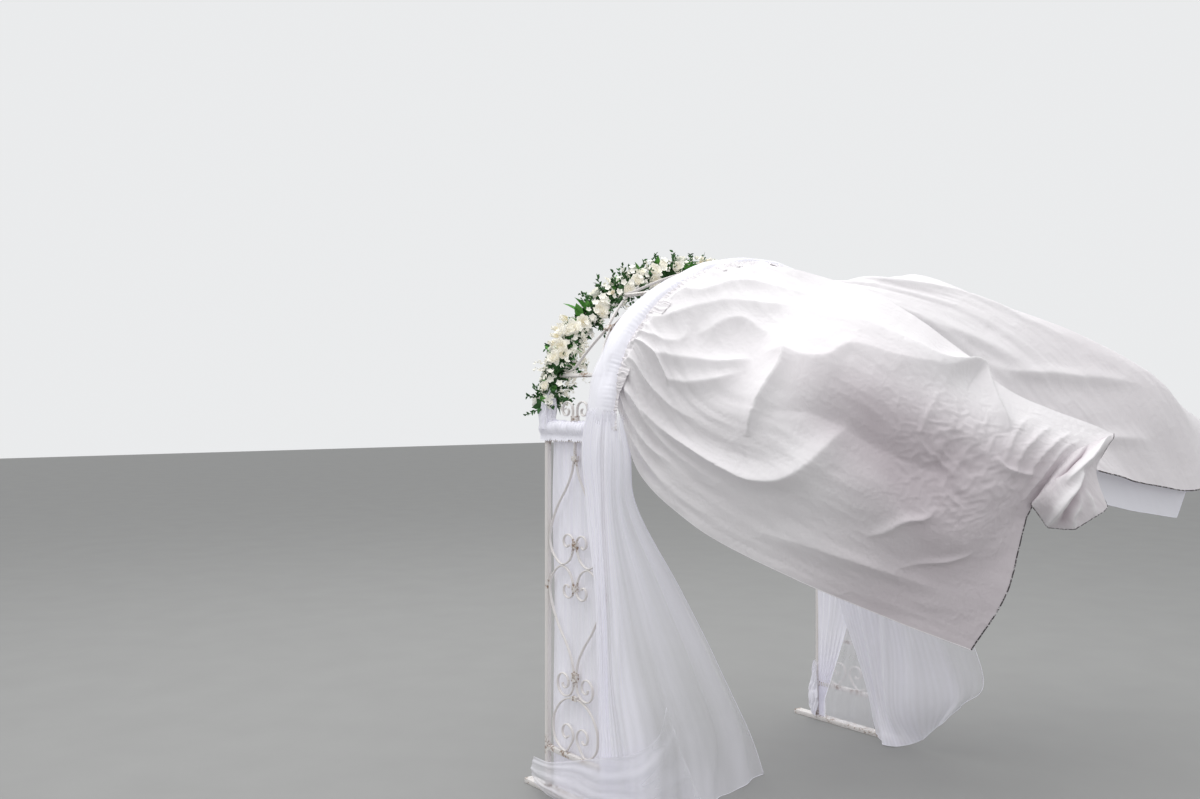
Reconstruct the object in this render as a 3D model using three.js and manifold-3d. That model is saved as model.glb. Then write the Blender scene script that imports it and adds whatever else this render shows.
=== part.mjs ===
// A white wrought-iron wedding canopy: two scrollwork side panels carry a front and a rear arc.
// A silk garland lies on the front arc; gathered curtains and two wind-blown sheets hang from the rear arc.
// Millimetres, +Z up. +X runs to the right as seen from the garland side, and +Y from front to rear.
// The shapes are drawn about the middle of the arch; the part's origin is under the right foot bar.
import * as THREE from "three";
import { mergeVertices } from "three/addons/utils/BufferGeometryUtils.js";
import Module from "manifold-3d";

const wasm = await Module();
wasm.setup();

// Driving dimensions
const SPAN = 1660; // between the post centres of the two panels
const DEPTH = 370; // between the front and rear post centres of a panel
const SPRING = 1450; // height at which the arcs leave the posts
const RISE = 722; // of the arcs above that: a slightly flattened half circle
const TUBE = 20; // square section of posts, rails and arcs
const CROSSBAR = 14; // square section of the bars that tie the two arcs
const BAR = { thick: 6, deep: 12 }; // flat bar that the scrolls are bent from
const FOOT = { length: 650, width: 45, height: 20 };
const LOWER_RAIL_TOP = 190;
const GAP = 0.3; // between pieces that touch
const HEADER = { top: 1500, halfWidth: 21, front: -232, rear: 160, soft: 12 }; // puffy top of a curtain
const CURTAIN = { inset: 19, thick: 3, wave: 4, folds: 8 }; // sheer curtain inside a panel
const SLEEVE_BOTTOM = 1500; // where the gathered header on the rear arc ends
const GARLAND_BOTTOM = 1512;
const CLOTH = 4; // thickness of a sheet or curtain solid

// Worked out from these
const HALF_SPAN = SPAN / 2;
const HALF_DEPTH = DEPTH / 2;
const HALF_TUBE = TUBE / 2;
const POST_INNER = HALF_DEPTH - HALF_TUBE; // inner face of a post, measured along Y
const HEART = { tip: 505, lobe: 932, widest: POST_INNER - BAR.thick / 2 - GAP };
const HEART_MIRROR = HEART.lobe + BAR.thick / 2 + GAP / 2;
const SHEET_HEADER_Y = HALF_DEPTH + 32 + GAP;

// Materials
function finish(color, roughness, metalness = 0) {
  return new THREE.MeshStandardMaterial({ color, roughness, metalness });
}
const whitePaint = finish(0xe9e6e1, 0.5, 0.1);
const sheetCloth = finish(0xeee8ea, 0.75);
const tulle = finish(0xdfe0ee, 0.85);
const silkFlowers = finish(0xdcdccb, 0.9);

// Solids
function solidOf(geometry) {
  const bare = geometry.clone();
  bare.deleteAttribute("normal");
  bare.deleteAttribute("uv");
  const merged = mergeVertices(bare, 1e-4);
  return new wasm.Manifold(
    new wasm.Mesh({
      numProp: 3,
      vertProperties: merged.attributes.position.array,
      triVerts: new Uint32Array(merged.index.array),
    }),
  );
}

function geometryOf(solid) {
  const mesh = solid.getMesh();
  const geometry = new THREE.BufferGeometry();
  geometry.setAttribute("position", new THREE.BufferAttribute(mesh.vertProperties, 3));
  geometry.setIndex(new THREE.BufferAttribute(mesh.triVerts, 1));
  geometry.computeVertexNormals();
  return geometry;
}

function join(...geometries) {
  return geometryOf(geometries.map(solidOf).reduce((all, next) => all.add(next)));
}

function cut(geometry, ...tools) {
  return geometryOf(tools.map(solidOf).reduce((left, tool) => left.subtract(tool), solidOf(geometry)));
}

// A box between two corners.
function box([x0, y0, z0], [x1, y1, z1]) {
  return new THREE.BoxGeometry(x1 - x0, y1 - y0, z1 - z0)
    .translate((x0 + x1) / 2, (y0 + y1) / 2, (z0 + z1) / 2);
}

// Points of a curl about a centre: its radius goes evenly from one value to the other, angles in degrees.
function curl([y, z], [fromRadius, toRadius], [fromAngle, toAngle], steps = 8) {
  return Array.from({ length: steps + 1 }, (_, i) => {
    const t = i / steps;
    const angle = THREE.MathUtils.degToRad(THREE.MathUtils.lerp(fromAngle, toAngle, t));
    const radius = THREE.MathUtils.lerp(fromRadius, toRadius, t);
    return [y + radius * Math.cos(angle), z + radius * Math.sin(angle)];
  });
}

// Flat bar bent along a smooth line through the points, as a plate standing on the drawing plane.
function bentBar(points, segments = 24) {
  const line = new THREE.CatmullRomCurve3(points.map(([a, b]) => new THREE.Vector3(a, b, 0)));
  const left = [];
  const right = [];
  for (let i = 0; i <= segments; i++) {
    const p = line.getPoint(i / segments);
    const t = line.getTangent(i / segments);
    const side = new THREE.Vector2(-t.y, t.x).multiplyScalar(BAR.thick / 2);
    left.push(new THREE.Vector2(p.x, p.y).add(side));
    right.push(new THREE.Vector2(p.x, p.y).sub(side));
  }
  const outline = new THREE.Shape([...left, ...right.reverse()]);
  return new THREE.ExtrudeGeometry(outline, { depth: BAR.deep, bevelEnabled: false })
    .translate(0, 0, -BAR.deep / 2);
}

// A clasp round bars that meet on the middle line.
function collar(halfWidth, low, high) {
  return box([-halfWidth, low, -BAR.deep / 2 - 1.5], [halfWidth, high, BAR.deep / 2 + 1.5]);
}

const mirrorAcross = (points) => points.map(([a, b]) => [-a, b]);
const mirrorUp = (points) => points.map(([a, b]) => [a, 2 * HEART_MIRROR - b]);

// Stands a drawing (across, up, through) in the plane of the right panel.
function standInPanel(geometry) {
  const axes = new THREE.Matrix4().makeBasis(
    new THREE.Vector3(0, 1, 0),
    new THREE.Vector3(0, 0, 1),
    new THREE.Vector3(1, 0, 0),
  );
  return geometry.applyMatrix4(axes).translate(HALF_SPAN, 0, 0);
}

// A pair of bent bars that mirror each other, held by the clasps between them.
function scrollPair(half, clasps) {
  return join(bentBar(half), bentBar(mirrorAcross(half)), ...clasps);
}

// Flattens the feet of a drawing where it stands on a rail.
function standingOn(height, geometry) {
  return cut(geometry, box([-DEPTH, height - DEPTH, -TUBE], [DEPTH, height + GAP, TUBE]));
}

// Scrollwork of a side panel, from the lower rail upwards
function archScrolls() {
  const foot = LOWER_RAIL_TOP + GAP + BAR.thick / 2;
  const round = curl([0, 268], [146, 150], [90, 15], 5);
  const bottom = [[140, 240], [104, 204], [62, foot]];
  const inner = curl([56, 266], [50, 14], [-120, -500], 8);
  const half = [...round, ...bottom, ...inner];
  return standingOn(LOWER_RAIL_TOP, scrollPair(half, [collar(16, 408, 422)]));
}

function smallScrolls() {
  const half = [[9, 494], [13, 452], ...curl([72, 466], [56, 12], [-130, 350], 10)];
  return scrollPair(half, [collar(16, 484, HEART.tip - 9 - GAP)]);
}

const heartHalf = [
  [6, HEART.tip],
  [22, 565],
  [60, 628],
  [112, 692],
  [154, 768],
  [HEART.widest, 840],
  [146, 896],
  [88, HEART.lobe],
  [34, 908],
  ...curl([50, 842], [41, 12], [180, 500]),
];

function heartScroll() {
  return scrollPair(heartHalf, [collar(16, HEART.tip - 9, HEART.tip + 9), collar(14, 840, 858)]);
}

function invertedHeartScroll() {
  const tip = 2 * HEART_MIRROR - HEART.tip;
  const inner = 2 * HEART_MIRROR - 858;
  const stem = box([-4, tip, -BAR.deep / 2], [4, SPRING - TUBE - GAP, BAR.deep / 2]);
  return scrollPair(mirrorUp(heartHalf), [
    collar(16, tip - 9, tip + 9),
    collar(14, inner, inner + 18),
    stem,
  ]);
}

function hookScrolls() {
  const half = [
    [62, SPRING + GAP],
    [34, 1486],
    [15, 1535],
    ...curl([54, 1556], [40, 8], [150, -230]),
  ];
  return standingOn(SPRING, scrollPair(half, [collar(20, 1518, 1534)]));
}

// The arcs
class Arch extends THREE.Curve {
  constructor(from, to, y) {
    super();
    Object.assign(this, { from, to, y });
  }
  getPoint(t, target = new THREE.Vector3()) {
    const angle = THREE.MathUtils.degToRad(THREE.MathUtils.lerp(this.from, this.to, t));
    return target.set(HALF_SPAN * Math.cos(angle), this.y, SPRING + RISE * Math.sin(angle));
  }
}

// Sweeps an outline of [towards the front, outwards] along the arch.
function alongArch(outline, from, to, y, steps) {
  const shape = new THREE.Shape(outline.map(([front, out]) => new THREE.Vector2(front, out)));
  const extrudePath = new Arch(from, to, y);
  return new THREE.ExtrudeGeometry(shape, { steps, bevelEnabled: false, extrudePath });
}

function cutBelow(geometry, z) {
  return cut(geometry, box([-SPAN, -SPAN, 0], [SPAN, SPAN, z]));
}

const FEET = 0.5; // degrees that a swept arc starts below the spring, before it is cut level

// A rectangle between two corners, as an outline.
function rectangle([x0, y0], [x1, y1]) {
  return [[x0, y0], [x1, y0], [x1, y1], [x0, y1]];
}

// A bar of this outline along the whole arch.
function archBar(outline, y) {
  return alongArch(outline, -FEET, 180 + FEET, y, 40);
}

function arc(y) {
  const square = rectangle([-HALF_TUBE, -HALF_TUBE], [HALF_TUBE, HALF_TUBE]);
  return cutBelow(archBar(square, y), SPRING + GAP);
}

// Puffy gathered header on the rear arc, open towards the front where the cross bars arrive.
function arcHeader() {
  const clear = HALF_TUBE + GAP;
  const outline = [
    [8, -28], [8, 0], [70, clear], [70, 24], [40, 34], [-20, 34], [-32, 20], [-32, -16], [-20, -28],
  ];
  const channel = archBar(rectangle([-clear, -clear], [DEPTH, clear]), HALF_DEPTH);
  const puff = cut(alongArch(outline, 1, 89.9, HALF_DEPTH, 14), channel);
  return cutBelow(puff, SLEEVE_BOTTOM);
}

// The garland's body round the front arc, open towards the rear.
function garland() {
  const clear = HALF_TUBE + GAP;
  const outline = [
    [-40, -28], [-40, 34], [-12, 56], [36, 60], [62, 36], [62, -22], [38, -46], [-12, -46],
  ];
  const channel = archBar(rectangle([-DEPTH, -clear], [clear, clear]), -HALF_DEPTH);
  const bunch = cut(alongArch(outline, 1, 89.9, -HALF_DEPTH, 14), channel);
  return cutBelow(bunch, GARLAND_BOTTOM);
}

// The outward direction of the arch at an angle in degrees.
function archNormal(degrees) {
  const angle = THREE.MathUtils.degToRad(degrees);
  return new THREE.Vector3(Math.cos(angle) / HALF_SPAN, 0, Math.sin(angle) / RISE).normalize();
}

function crossbar(degrees) {
  const half = CROSSBAR / 2;
  const geometry = box([-half, -POST_INNER + GAP, -half], [half, POST_INNER - GAP, half]);
  const out = archNormal(degrees);
  const place = new Arch(degrees, degrees + 1, 0).getPoint(0);
  return geometry.rotateY(Math.atan2(out.x, out.z)).translate(place.x, 0, place.z);
}

// Bends a drawing (across, along, through) over the arch between two cross bars.
function bendOverArch(geometry, from, to, length) {
  const bay = new Arch(from, to, 0);
  const points = geometry.getAttribute("position");
  for (let i = 0; i < points.count; i++) {
    const t = points.getY(i) / length;
    const place = bay.getPoint(t);
    place.addScaledVector(archNormal(THREE.MathUtils.lerp(from, to, t)), points.getZ(i));
    points.setXYZ(i, place.x, points.getX(i), place.z);
  }
  return geometry;
}

// Two C scrolls back to back between two cross bars of the arch.
function bayScrolls(from, to) {
  const length = new Arch(from, to, 0).getLength();
  const reach = POST_INNER - GAP - BAR.thick / 2;
  const curlIn = curl([reach - 38.5, 57], [12, 62], [560, 180], 9);
  const curlOut = curlIn.map(([a, s]) => [a, length - s]).reverse();
  const half = [...curlIn, [16, length / 2 - 12], [16, length / 2 + 12], ...curlOut];
  const bars = join(
    bentBar(half, 44),
    bentBar(mirrorAcross(half), 44),
    collar(22, length / 2 - 10, length / 2 + 10),
  );
  return bendOverArch(bars, from, to, length);
}

// Cloth solids
// A smooth surface through rows of points: u runs over the rows, v along each row.
function throughRows(rows) {
  const lines = rows.map((row) => new THREE.CatmullRomCurve3(row.map((p) => new THREE.Vector3(...p))));
  return (u, v) => new THREE.CatmullRomCurve3(lines.map((line) => line.getPoint(v))).getPoint(u);
}

// A closed shell about a surface. The first rim can be kept flat across one axis, to seat it on a face.
function clothShell(surface, across, along, { thick = CLOTH, flatAxis = null } = {}) {
  const grid = [];
  for (let i = 0; i <= across; i++) {
    grid.push(Array.from({ length: along + 1 }, (_, j) => surface(i / across, j / along)));
  }
  const normalAt = (i, j) => {
    const du = grid[Math.min(i + 1, across)][j].clone().sub(grid[Math.max(i - 1, 0)][j]);
    const dv = grid[i][Math.min(j + 1, along)].clone().sub(grid[i][Math.max(j - 1, 0)]);
    const normal = du.cross(dv);
    if (flatAxis && j === 0) normal[flatAxis] = 0;
    return normal.normalize();
  };
  const positions = [];
  for (const side of [thick / 2, -thick / 2]) {
    for (let i = 0; i <= across; i++) {
      for (let j = 0; j <= along; j++) {
        positions.push(...grid[i][j].clone().addScaledVector(normalAt(i, j), side).toArray());
      }
    }
  }
  const layer = (across + 1) * (along + 1);
  const at = (i, j, side) => side * layer + i * (along + 1) + j;
  const faces = [];
  const quad = (a, b, c, d) => faces.push(a, b, c, a, c, d);
  for (let i = 0; i < across; i++) {
    for (let j = 0; j < along; j++) {
      quad(at(i, j, 0), at(i + 1, j, 0), at(i + 1, j + 1, 0), at(i, j + 1, 0));
      quad(at(i, j, 1), at(i, j + 1, 1), at(i + 1, j + 1, 1), at(i + 1, j, 1));
    }
    quad(at(i, 0, 1), at(i + 1, 0, 1), at(i + 1, 0, 0), at(i, 0, 0));
    quad(at(i, along, 0), at(i + 1, along, 0), at(i + 1, along, 1), at(i, along, 1));
  }
  for (let j = 0; j < along; j++) {
    quad(at(0, j, 0), at(0, j + 1, 0), at(0, j + 1, 1), at(0, j, 1));
    quad(at(across, j, 1), at(across, j + 1, 1), at(across, j + 1, 0), at(across, j, 0));
  }
  const geometry = new THREE.BufferGeometry();
  geometry.setAttribute("position", new THREE.BufferAttribute(new Float32Array(positions), 3));
  geometry.setIndex(faces);
  geometry.computeVertexNormals();
  return geometry;
}

// The start of a sheet on the rear face of the gathered header, and a point a little way out from it.
function fromHeader(degrees, lift = 6) {
  const start = new Arch(degrees, degrees + 1, SHEET_HEADER_Y).getPoint(0);
  start.addScaledVector(archNormal(degrees), lift);
  return [start.toArray(), [start.x, start.y + 30, start.z - 4]];
}

// Sheets blown by a wind towards the rear and left. Control points are chosen by eye, from header to hem.
// The right sheet, lower edge first: it sags over its lower edge.
const rightSheetRows = [
  [fromHeader(14)[0], [775, 240, 1485], [712, 264, 1310], [545, 415, 1105], [300, 650, 930], [40, 870, 785],
    [-225, 1085, 655]],
  [...fromHeader(26), [635, 345, 1465], [455, 562, 1278], [213, 792, 1100], [-55, 985, 955],
    [-340, 1155, 858]],
  [...fromHeader(39), [560, 435, 1600], [365, 710, 1450], [145, 945, 1270], [-135, 1100, 1115],
    [-465, 1175, 1155]],
  [...fromHeader(65), [265, 460, 1875], [175, 785, 1750], [25, 990, 1600], [-245, 1125, 1450],
    [-640, 1235, 1375]],
  [...fromHeader(88), [-185, 435, 2110], [-320, 640, 2005], [-425, 830, 1855], [-560, 995, 1660],
    [-945, 1265, 1460]],
];

// The large folds of the right sheet. Each point is a place [u, v] on it, a height and a half width.
const sheetFolds = {
  swag: [[0.14, 0.1, 0, 30], [0.16, 0.24, 24, 34], [0.25, 0.33, 34, 38], [0.28, 0.42, 52, 46],
    [0.31, 0.51, 62, 58], [0.44, 0.545, 50, 54], [0.55, 0.557, 28, 46], [0.62, 0.578, 0, 40]],
  seam: [[0.455, 0.437, 0, 24], [0.49, 0.43, 34, 30], [0.6, 0.415, 46, 36], [0.7, 0.41, 36, 38],
    [0.75, 0.355, 0, 38]],
  crest: [[0.5, 0.14, 0, 30], [0.66, 0.23, 20, 36], [0.845, 0.34, 30, 54], [0.868, 0.595, 50, 58],
    [0.965, 0.765, 70, 44], [0.88, 0.84, 34, 40], [0.81, 0.875, 0, 34]],
  lobe: [[0.32, 0.06, 0, 24], [0.395, 0.22, 24, 30], [0.55, 0.28, 34, 36], [0.635, 0.34, 30, 36],
    [0.67, 0.36, 0, 30]],
};
const SHEET_SIZE = new THREE.Vector2(1300, 1800); // of the right sheet, across and along, for its folds
const FOLD = { start: 0.02, sharpness: 1.4 }; // the folds rise over this share of the sheet's length
const RIGHT_SHEET_GRID = [24, 32];

// The end of the right sheet that the wind has twisted back: from its hem, over the fold and out again.
const FLAP = { from: 0.55, seat: 0.985, grid: [5, 10] };
const flapRows = [
  [[-455, 1190, 1205], [-495, 1270, 1280], [-595, 1310, 1355], [-765, 1315, 1395], [-920, 1285, 1430]],
  [[-500, 1185, 1170], [-525, 1280, 1210], [-635, 1315, 1270], [-765, 1315, 1325], [-905, 1275, 1380]],
  [[-565, 1195, 1105], [-565, 1285, 1105], [-655, 1330, 1130], [-760, 1335, 1180], [-885, 1310, 1280]],
];

// The left sheet fills like a sail behind it, the edge nearest the crown first.
const leftSheetRows = [
  [...fromHeader(92), [-330, 395, 2035], [-570, 605, 1880], [-775, 815, 1665], [-920, 980, 1475],
    [-1060, 1140, 1300]],
  [...fromHeader(117), [-515, 385, 2125], [-805, 645, 2040], [-1035, 890, 1840], [-1200, 1075, 1555],
    [-1345, 1220, 1235]],
  [...fromHeader(141), [-735, 405, 2140], [-1060, 680, 2015], [-1350, 950, 1862], [-1535, 1150, 1670],
    [-1635, 1300, 1205]],
  [...fromHeader(166), [-935, 345, 1790], [-1205, 590, 1785], [-1460, 845, 1720], [-1765, 1145, 1580],
    [-1950, 1350, 1335]],
];

const SHEET_GRID = [12, 16];

// The height of a fold at a place: that of the nearest point of its line, fading with the distance from it.
function foldHeight(line, u, v) {
  const spot = new THREE.Vector2(u, v).multiply(SHEET_SIZE);
  let nearest = Infinity;
  let height = 0;
  for (let i = 1; i < line.length; i++) {
    const [u0, v0, height0, width0] = line[i - 1];
    const [u1, v1, height1, width1] = line[i];
    const start = new THREE.Vector2(u0, v0).multiply(SHEET_SIZE);
    const run = new THREE.Vector2(u1, v1).multiply(SHEET_SIZE).sub(start);
    const t = THREE.MathUtils.clamp(spot.clone().sub(start).dot(run) / run.lengthSq(), 0, 1);
    const away = spot.distanceTo(start.addScaledVector(run, t));
    if (away < nearest) {
      nearest = away;
      const spread = (away / THREE.MathUtils.lerp(width0, width1, t)) ** FOLD.sharpness;
      height = THREE.MathUtils.lerp(height0, height1, t) * Math.exp(-spread);
    }
  }
  return height;
}

function rightSheet() {
  const base = throughRows(rightSheetRows);
  const folded = (u, v) => {
    const height = Object.values(sheetFolds).reduce((sum, line) => sum + foldHeight(line, u, v), 0);
    const rise = Math.min(1, v / FOLD.start);
    return base(u, v).addScaledVector(surfaceNormal(base, u, v), height * rise);
  };
  const hem = flapRows[0].map((_, i, row) => {
    const u = THREE.MathUtils.lerp(FLAP.from, 1, i / (row.length - 1));
    return folded(u, FLAP.seat).toArray();
  });
  const sheet = clothShell(folded, ...RIGHT_SHEET_GRID, { flatAxis: "y" });
  return join(sheet, clothShell(throughRows([hem, ...flapRows]), ...FLAP.grid));
}

function leftSheet() {
  return clothShell(throughRows(leftSheetRows), ...SHEET_GRID, { flatAxis: "y" });
}

// A sheer lining under the left sheet, on the same header. It hangs below the hem from the crown's edge to
// this share of the sheet's width.
const LINING = { drop: 18, hang: 115, share: 0.55 };

// The direction square to a surface, on its upper side.
function surfaceNormal(surface, u, v) {
  const step = 0.02;
  const du = surface(Math.min(u + step, 1), v).sub(surface(Math.max(u - step, 0), v));
  const dv = surface(u, Math.min(v + step, 1)).sub(surface(u, Math.max(v - step, 0)));
  if (v === 0) dv.set(0, 1, 0);
  return dv.cross(du).normalize();
}

function leftSheetLining() {
  const sheet = throughRows(leftSheetRows);
  const hangFrom = 1 - 1 / SHEET_GRID[1];
  const under = (u, v) => {
    const point = sheet(u, v).addScaledVector(surfaceNormal(sheet, u, v), -LINING.drop);
    if (v > hangFrom && u < LINING.share) point.z -= (LINING.hang * (v - hangFrom)) / (1 - hangFrom);
    return point;
  };
  return clothShell(under, ...SHEET_GRID, { flatAxis: "y" });
}

// The right curtain leaves the end of the header, passes outside the rear post and fans out over the ground.
// Rows run downwards; in a row the points go from the panel's outer face round to the inner edge.
const rightCurtainRows = [
  [[855, 122, 1499.7], [855, 165, 1499.7], [848, 206, 1499.7], [828, 207, 1499.7], [806, 207, 1499.7]],
  [[860, 84, 1420], [862, 150, 1420], [854, 222, 1420], [806, 230, 1400], [758, 214, 1390]],
  [[848, 98, 1200], [854, 170, 1200], [850, 224, 1200], [786, 238, 1205], [700, 214, 1211]],
  [[848, 160, 840], [854, 196, 840], [838, 232, 840], [660, 254, 835], [452, 206, 835]],
  [[848, 178, 500], [854, 214, 500], [830, 248, 500], [540, 280, 520], [256, 210, 525]],
  [[850, 190, 215], [862, 236, 215], [800, 286, 215], [420, 300, 215], [70, 216, 213]],
  [[850, 200, 24], [864, 246, 24], [790, 312, 24], [400, 322, 3], [-8, 228, 3]],
];

// The left curtain lies against the inside of its panel and blows out behind the rear post.
const leftCurtainRows = [
  [[-806, 206, 1499.7], [-818, 206, 1499.7], [-830, 206, 1499.7], [-842, 206, 1499.7], [-854, 206, 1499.7]],
  [[-788, 120, 1330], [-792, 206, 1330], [-830, 238, 1330], [-852, 256, 1330], [-872, 276, 1330]],
  [[-786, 20, 960], [-786, 140, 960], [-800, 240, 960], [-850, 330, 960], [-890, 400, 960]],
  [[-786, -12, 640], [-786, 120, 640], [-798, 262, 640], [-850, 400, 640], [-900, 540, 660]],
  [[-786, 70, 420], [-780, 180, 400], [-785, 310, 400], [-840, 490, 420], [-895, 670, 470]],
  [[-786, 170, 160], [-765, 250, 130], [-770, 350, 150], [-820, 560, 232], [-875, 710, 325]],
  [[-788, 205, 24], [-730, 315, 5], [-805, 415, 30], [-820, 510, 115], [-850, 615, 220]],
];

const CURTAIN_GRID = [12, 14];

// Rows given downwards, so the surface runs down in v and across in u.
function hanging(rows) {
  const surface = throughRows(rows);
  return (u, v) => surface(v, u);
}

function sideCurtain(rows) {
  return clothShell(hanging(rows), ...CURTAIN_GRID, { flatAxis: "z" });
}

// Sheer curtain with upright folds just inside the right panel.
function panelCurtain() {
  const x = HALF_SPAN - CURTAIN.inset;
  const top = SPRING - GAP;
  const bottom = FOOT.height + GAP;
  const folded = (u, v) => new THREE.Vector3(
    x + CURTAIN.wave * Math.sin(2 * Math.PI * CURTAIN.folds * u),
    THREE.MathUtils.lerp(-POST_INNER, POST_INNER, u),
    THREE.MathUtils.lerp(top, bottom, v),
  );
  return clothShell(folded, 4 * CURTAIN.folds, 1, { thick: CURTAIN.thick });
}

// Gathered header on the top rail of the right panel, with room for the front arc and the hook scrolls.
function curtainHeader() {
  const { top, halfWidth, front, rear, soft } = HEADER;
  const low = SPRING + GAP;
  const shape = new THREE.Shape();
  shape.moveTo(-halfWidth, low);
  shape.lineTo(halfWidth, low);
  shape.lineTo(halfWidth, top - soft);
  shape.quadraticCurveTo(halfWidth, top, halfWidth - soft, top);
  shape.lineTo(-halfWidth + soft, top);
  shape.quadraticCurveTo(-halfWidth, top, -halfWidth, top - soft);
  shape.closePath();
  const run = { depth: rear - front, bevelEnabled: false, curveSegments: 3 };
  const roll = new THREE.ExtrudeGeometry(shape, run).rotateX(Math.PI / 2).translate(HALF_SPAN, rear, 0);
  const arcHole = box(
    [HALF_SPAN - HALF_TUBE - 3, -HALF_DEPTH - HALF_TUBE - GAP, low - GAP],
    [HALF_SPAN + HALF_TUBE + GAP, -HALF_DEPTH + HALF_TUBE + GAP, top + GAP],
  );
  const hookSlot = box(
    [HALF_SPAN - BAR.deep / 2 - 2, -90, low - GAP],
    [HALF_SPAN + BAR.deep / 2 + 2, 90, top + GAP],
  );
  return cut(roll, arcHole, hookSlot);
}

// The end of the right curtain's tulle, pulled round the base of the panel as a swag. Rows run upwards.
const swagRows = [
  [[849, -256, 20.3], [893, -120, 22], [899, 60, 22], [884, 240, 22], [800, 352, 22], [640, 380, 5],
    [470, 352, 5]],
  [[864, -262, 75], [902, -110, 80], [908, 70, 105], [896, 245, 125], [806, 358, 140], [690, 380, 165],
    [560, 345, 205]],
  [[860, -246, 130], [886, -100, 150], [890, 70, 200], [885, 230, 250], [805, 330, 275], [710, 355, 320],
    [635, 325, 420]],
];

function baseSwag() {
  return clothShell(hanging(swagRows), 14, 6, { thick: 2 * CLOTH, flatAxis: "z" });
}

// The foot of the left panel's curtain, bunched round the front post. Rows run upwards.
const tieRows = [
  [[-800, -186, 20.3], [-806, -213, 20.3], [-832, -222, 20.3], [-849, -205, 20.3]],
  [[-798, -162, 80], [-800, -228, 80], [-832, -244, 80], [-856, -208, 80]],
  [[-797, -166, 150], [-799, -222, 150], [-832, -240, 150], [-856, -204, 150]],
  [[-801, -172, 290], [-806, -205, 290], [-830, -214, 290], [-848, -200, 290]],
];

function baseTie() {
  return clothShell(hanging(tieRows), 8, 6, { flatAxis: "z" });
}

// Frame pieces of the right panel
function footBar() {
  return box(
    [HALF_SPAN - FOOT.width / 2, -FOOT.length / 2, 0],
    [HALF_SPAN + FOOT.width / 2, FOOT.length / 2, FOOT.height],
  );
}

function post(y) {
  return box(
    [HALF_SPAN - HALF_TUBE, y - HALF_TUBE, FOOT.height + GAP],
    [HALF_SPAN + HALF_TUBE, y + HALF_TUBE, SPRING],
  );
}

function rail(top) {
  return box(
    [HALF_SPAN - HALF_TUBE, -POST_INNER + GAP, top - TUBE],
    [HALF_SPAN + HALF_TUBE, POST_INNER - GAP, top],
  );
}

// The assembly
const canopy = new THREE.Group();
canopy.position.x = -HALF_SPAN;

function add(parent, name, geometry, material) {
  const mesh = new THREE.Mesh(geometry, material);
  mesh.name = name;
  parent.add(mesh);
}

// One side of the frame with its panel curtain, arc header and garland: the left side mirrors the right one.
function addSide(side) {
  const group = new THREE.Group();
  if (side === "left") group.scale.x = -1;
  add(group, `${side}_foot_bar`, footBar(), whitePaint);
  add(group, `${side}_front_post`, post(-HALF_DEPTH), whitePaint);
  add(group, `${side}_rear_post`, post(HALF_DEPTH), whitePaint);
  add(group, `${side}_lower_rail`, rail(LOWER_RAIL_TOP), whitePaint);
  add(group, `${side}_top_rail`, rail(SPRING), whitePaint);
  add(group, `${side}_arch_scrolls`, standInPanel(archScrolls()), whitePaint);
  add(group, `${side}_small_scrolls`, standInPanel(smallScrolls()), whitePaint);
  add(group, `${side}_heart_scroll`, standInPanel(heartScroll()), whitePaint);
  add(group, `${side}_inverted_heart_scroll`, standInPanel(invertedHeartScroll()), whitePaint);
  add(group, `${side}_hook_scrolls`, standInPanel(hookScrolls()), whitePaint);
  add(group, `${side}_panel_curtain`, panelCurtain(), tulle);
  add(group, `${side}_curtain_header`, curtainHeader(), tulle);
  add(group, `${side}_arc_header`, arcHeader(), tulle);
  add(group, `${side}_garland`, garland(), silkFlowers);
  canopy.add(group);
}

addSide("right");
addSide("left");
add(canopy, "front_arc", arc(-HALF_DEPTH), whitePaint);
add(canopy, "rear_arc", arc(HALF_DEPTH), whitePaint);

const crossbarAngles = [20, 55, 90, 125, 160];
const clearance = 0.9; // degrees of arch that a cross bar and its gap take on each side
crossbarAngles.forEach((angle, i) => {
  add(canopy, `arc_crossbar_${i + 1}`, crossbar(angle), whitePaint);
  const next = crossbarAngles[i + 1];
  if (next) add(canopy, `arc_scrolls_${i + 1}`, bayScrolls(angle + clearance, next - clearance), whitePaint);
});

add(canopy, "right_sheet", rightSheet(), sheetCloth);
add(canopy, "left_sheet", leftSheet(), sheetCloth);
add(canopy, "left_sheet_lining", leftSheetLining(), tulle);
add(canopy, "right_side_curtain", sideCurtain(rightCurtainRows), tulle);
add(canopy, "left_side_curtain", sideCurtain(leftCurtainRows), tulle);
add(canopy, "right_base_swag", baseSwag(), tulle);
add(canopy, "left_base_tie", baseTie(), tulle);

export default canopy;
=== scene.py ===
"""Wrought-iron wedding arch with scrollwork panels, gathered tulle, two blown sheets and a silk garland."""
import math

import bmesh
import bpy
import numpy as np
from bpy.props import FloatProperty, FloatVectorProperty, IntProperty, PointerProperty
from mathutils import Matrix, Vector


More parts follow.
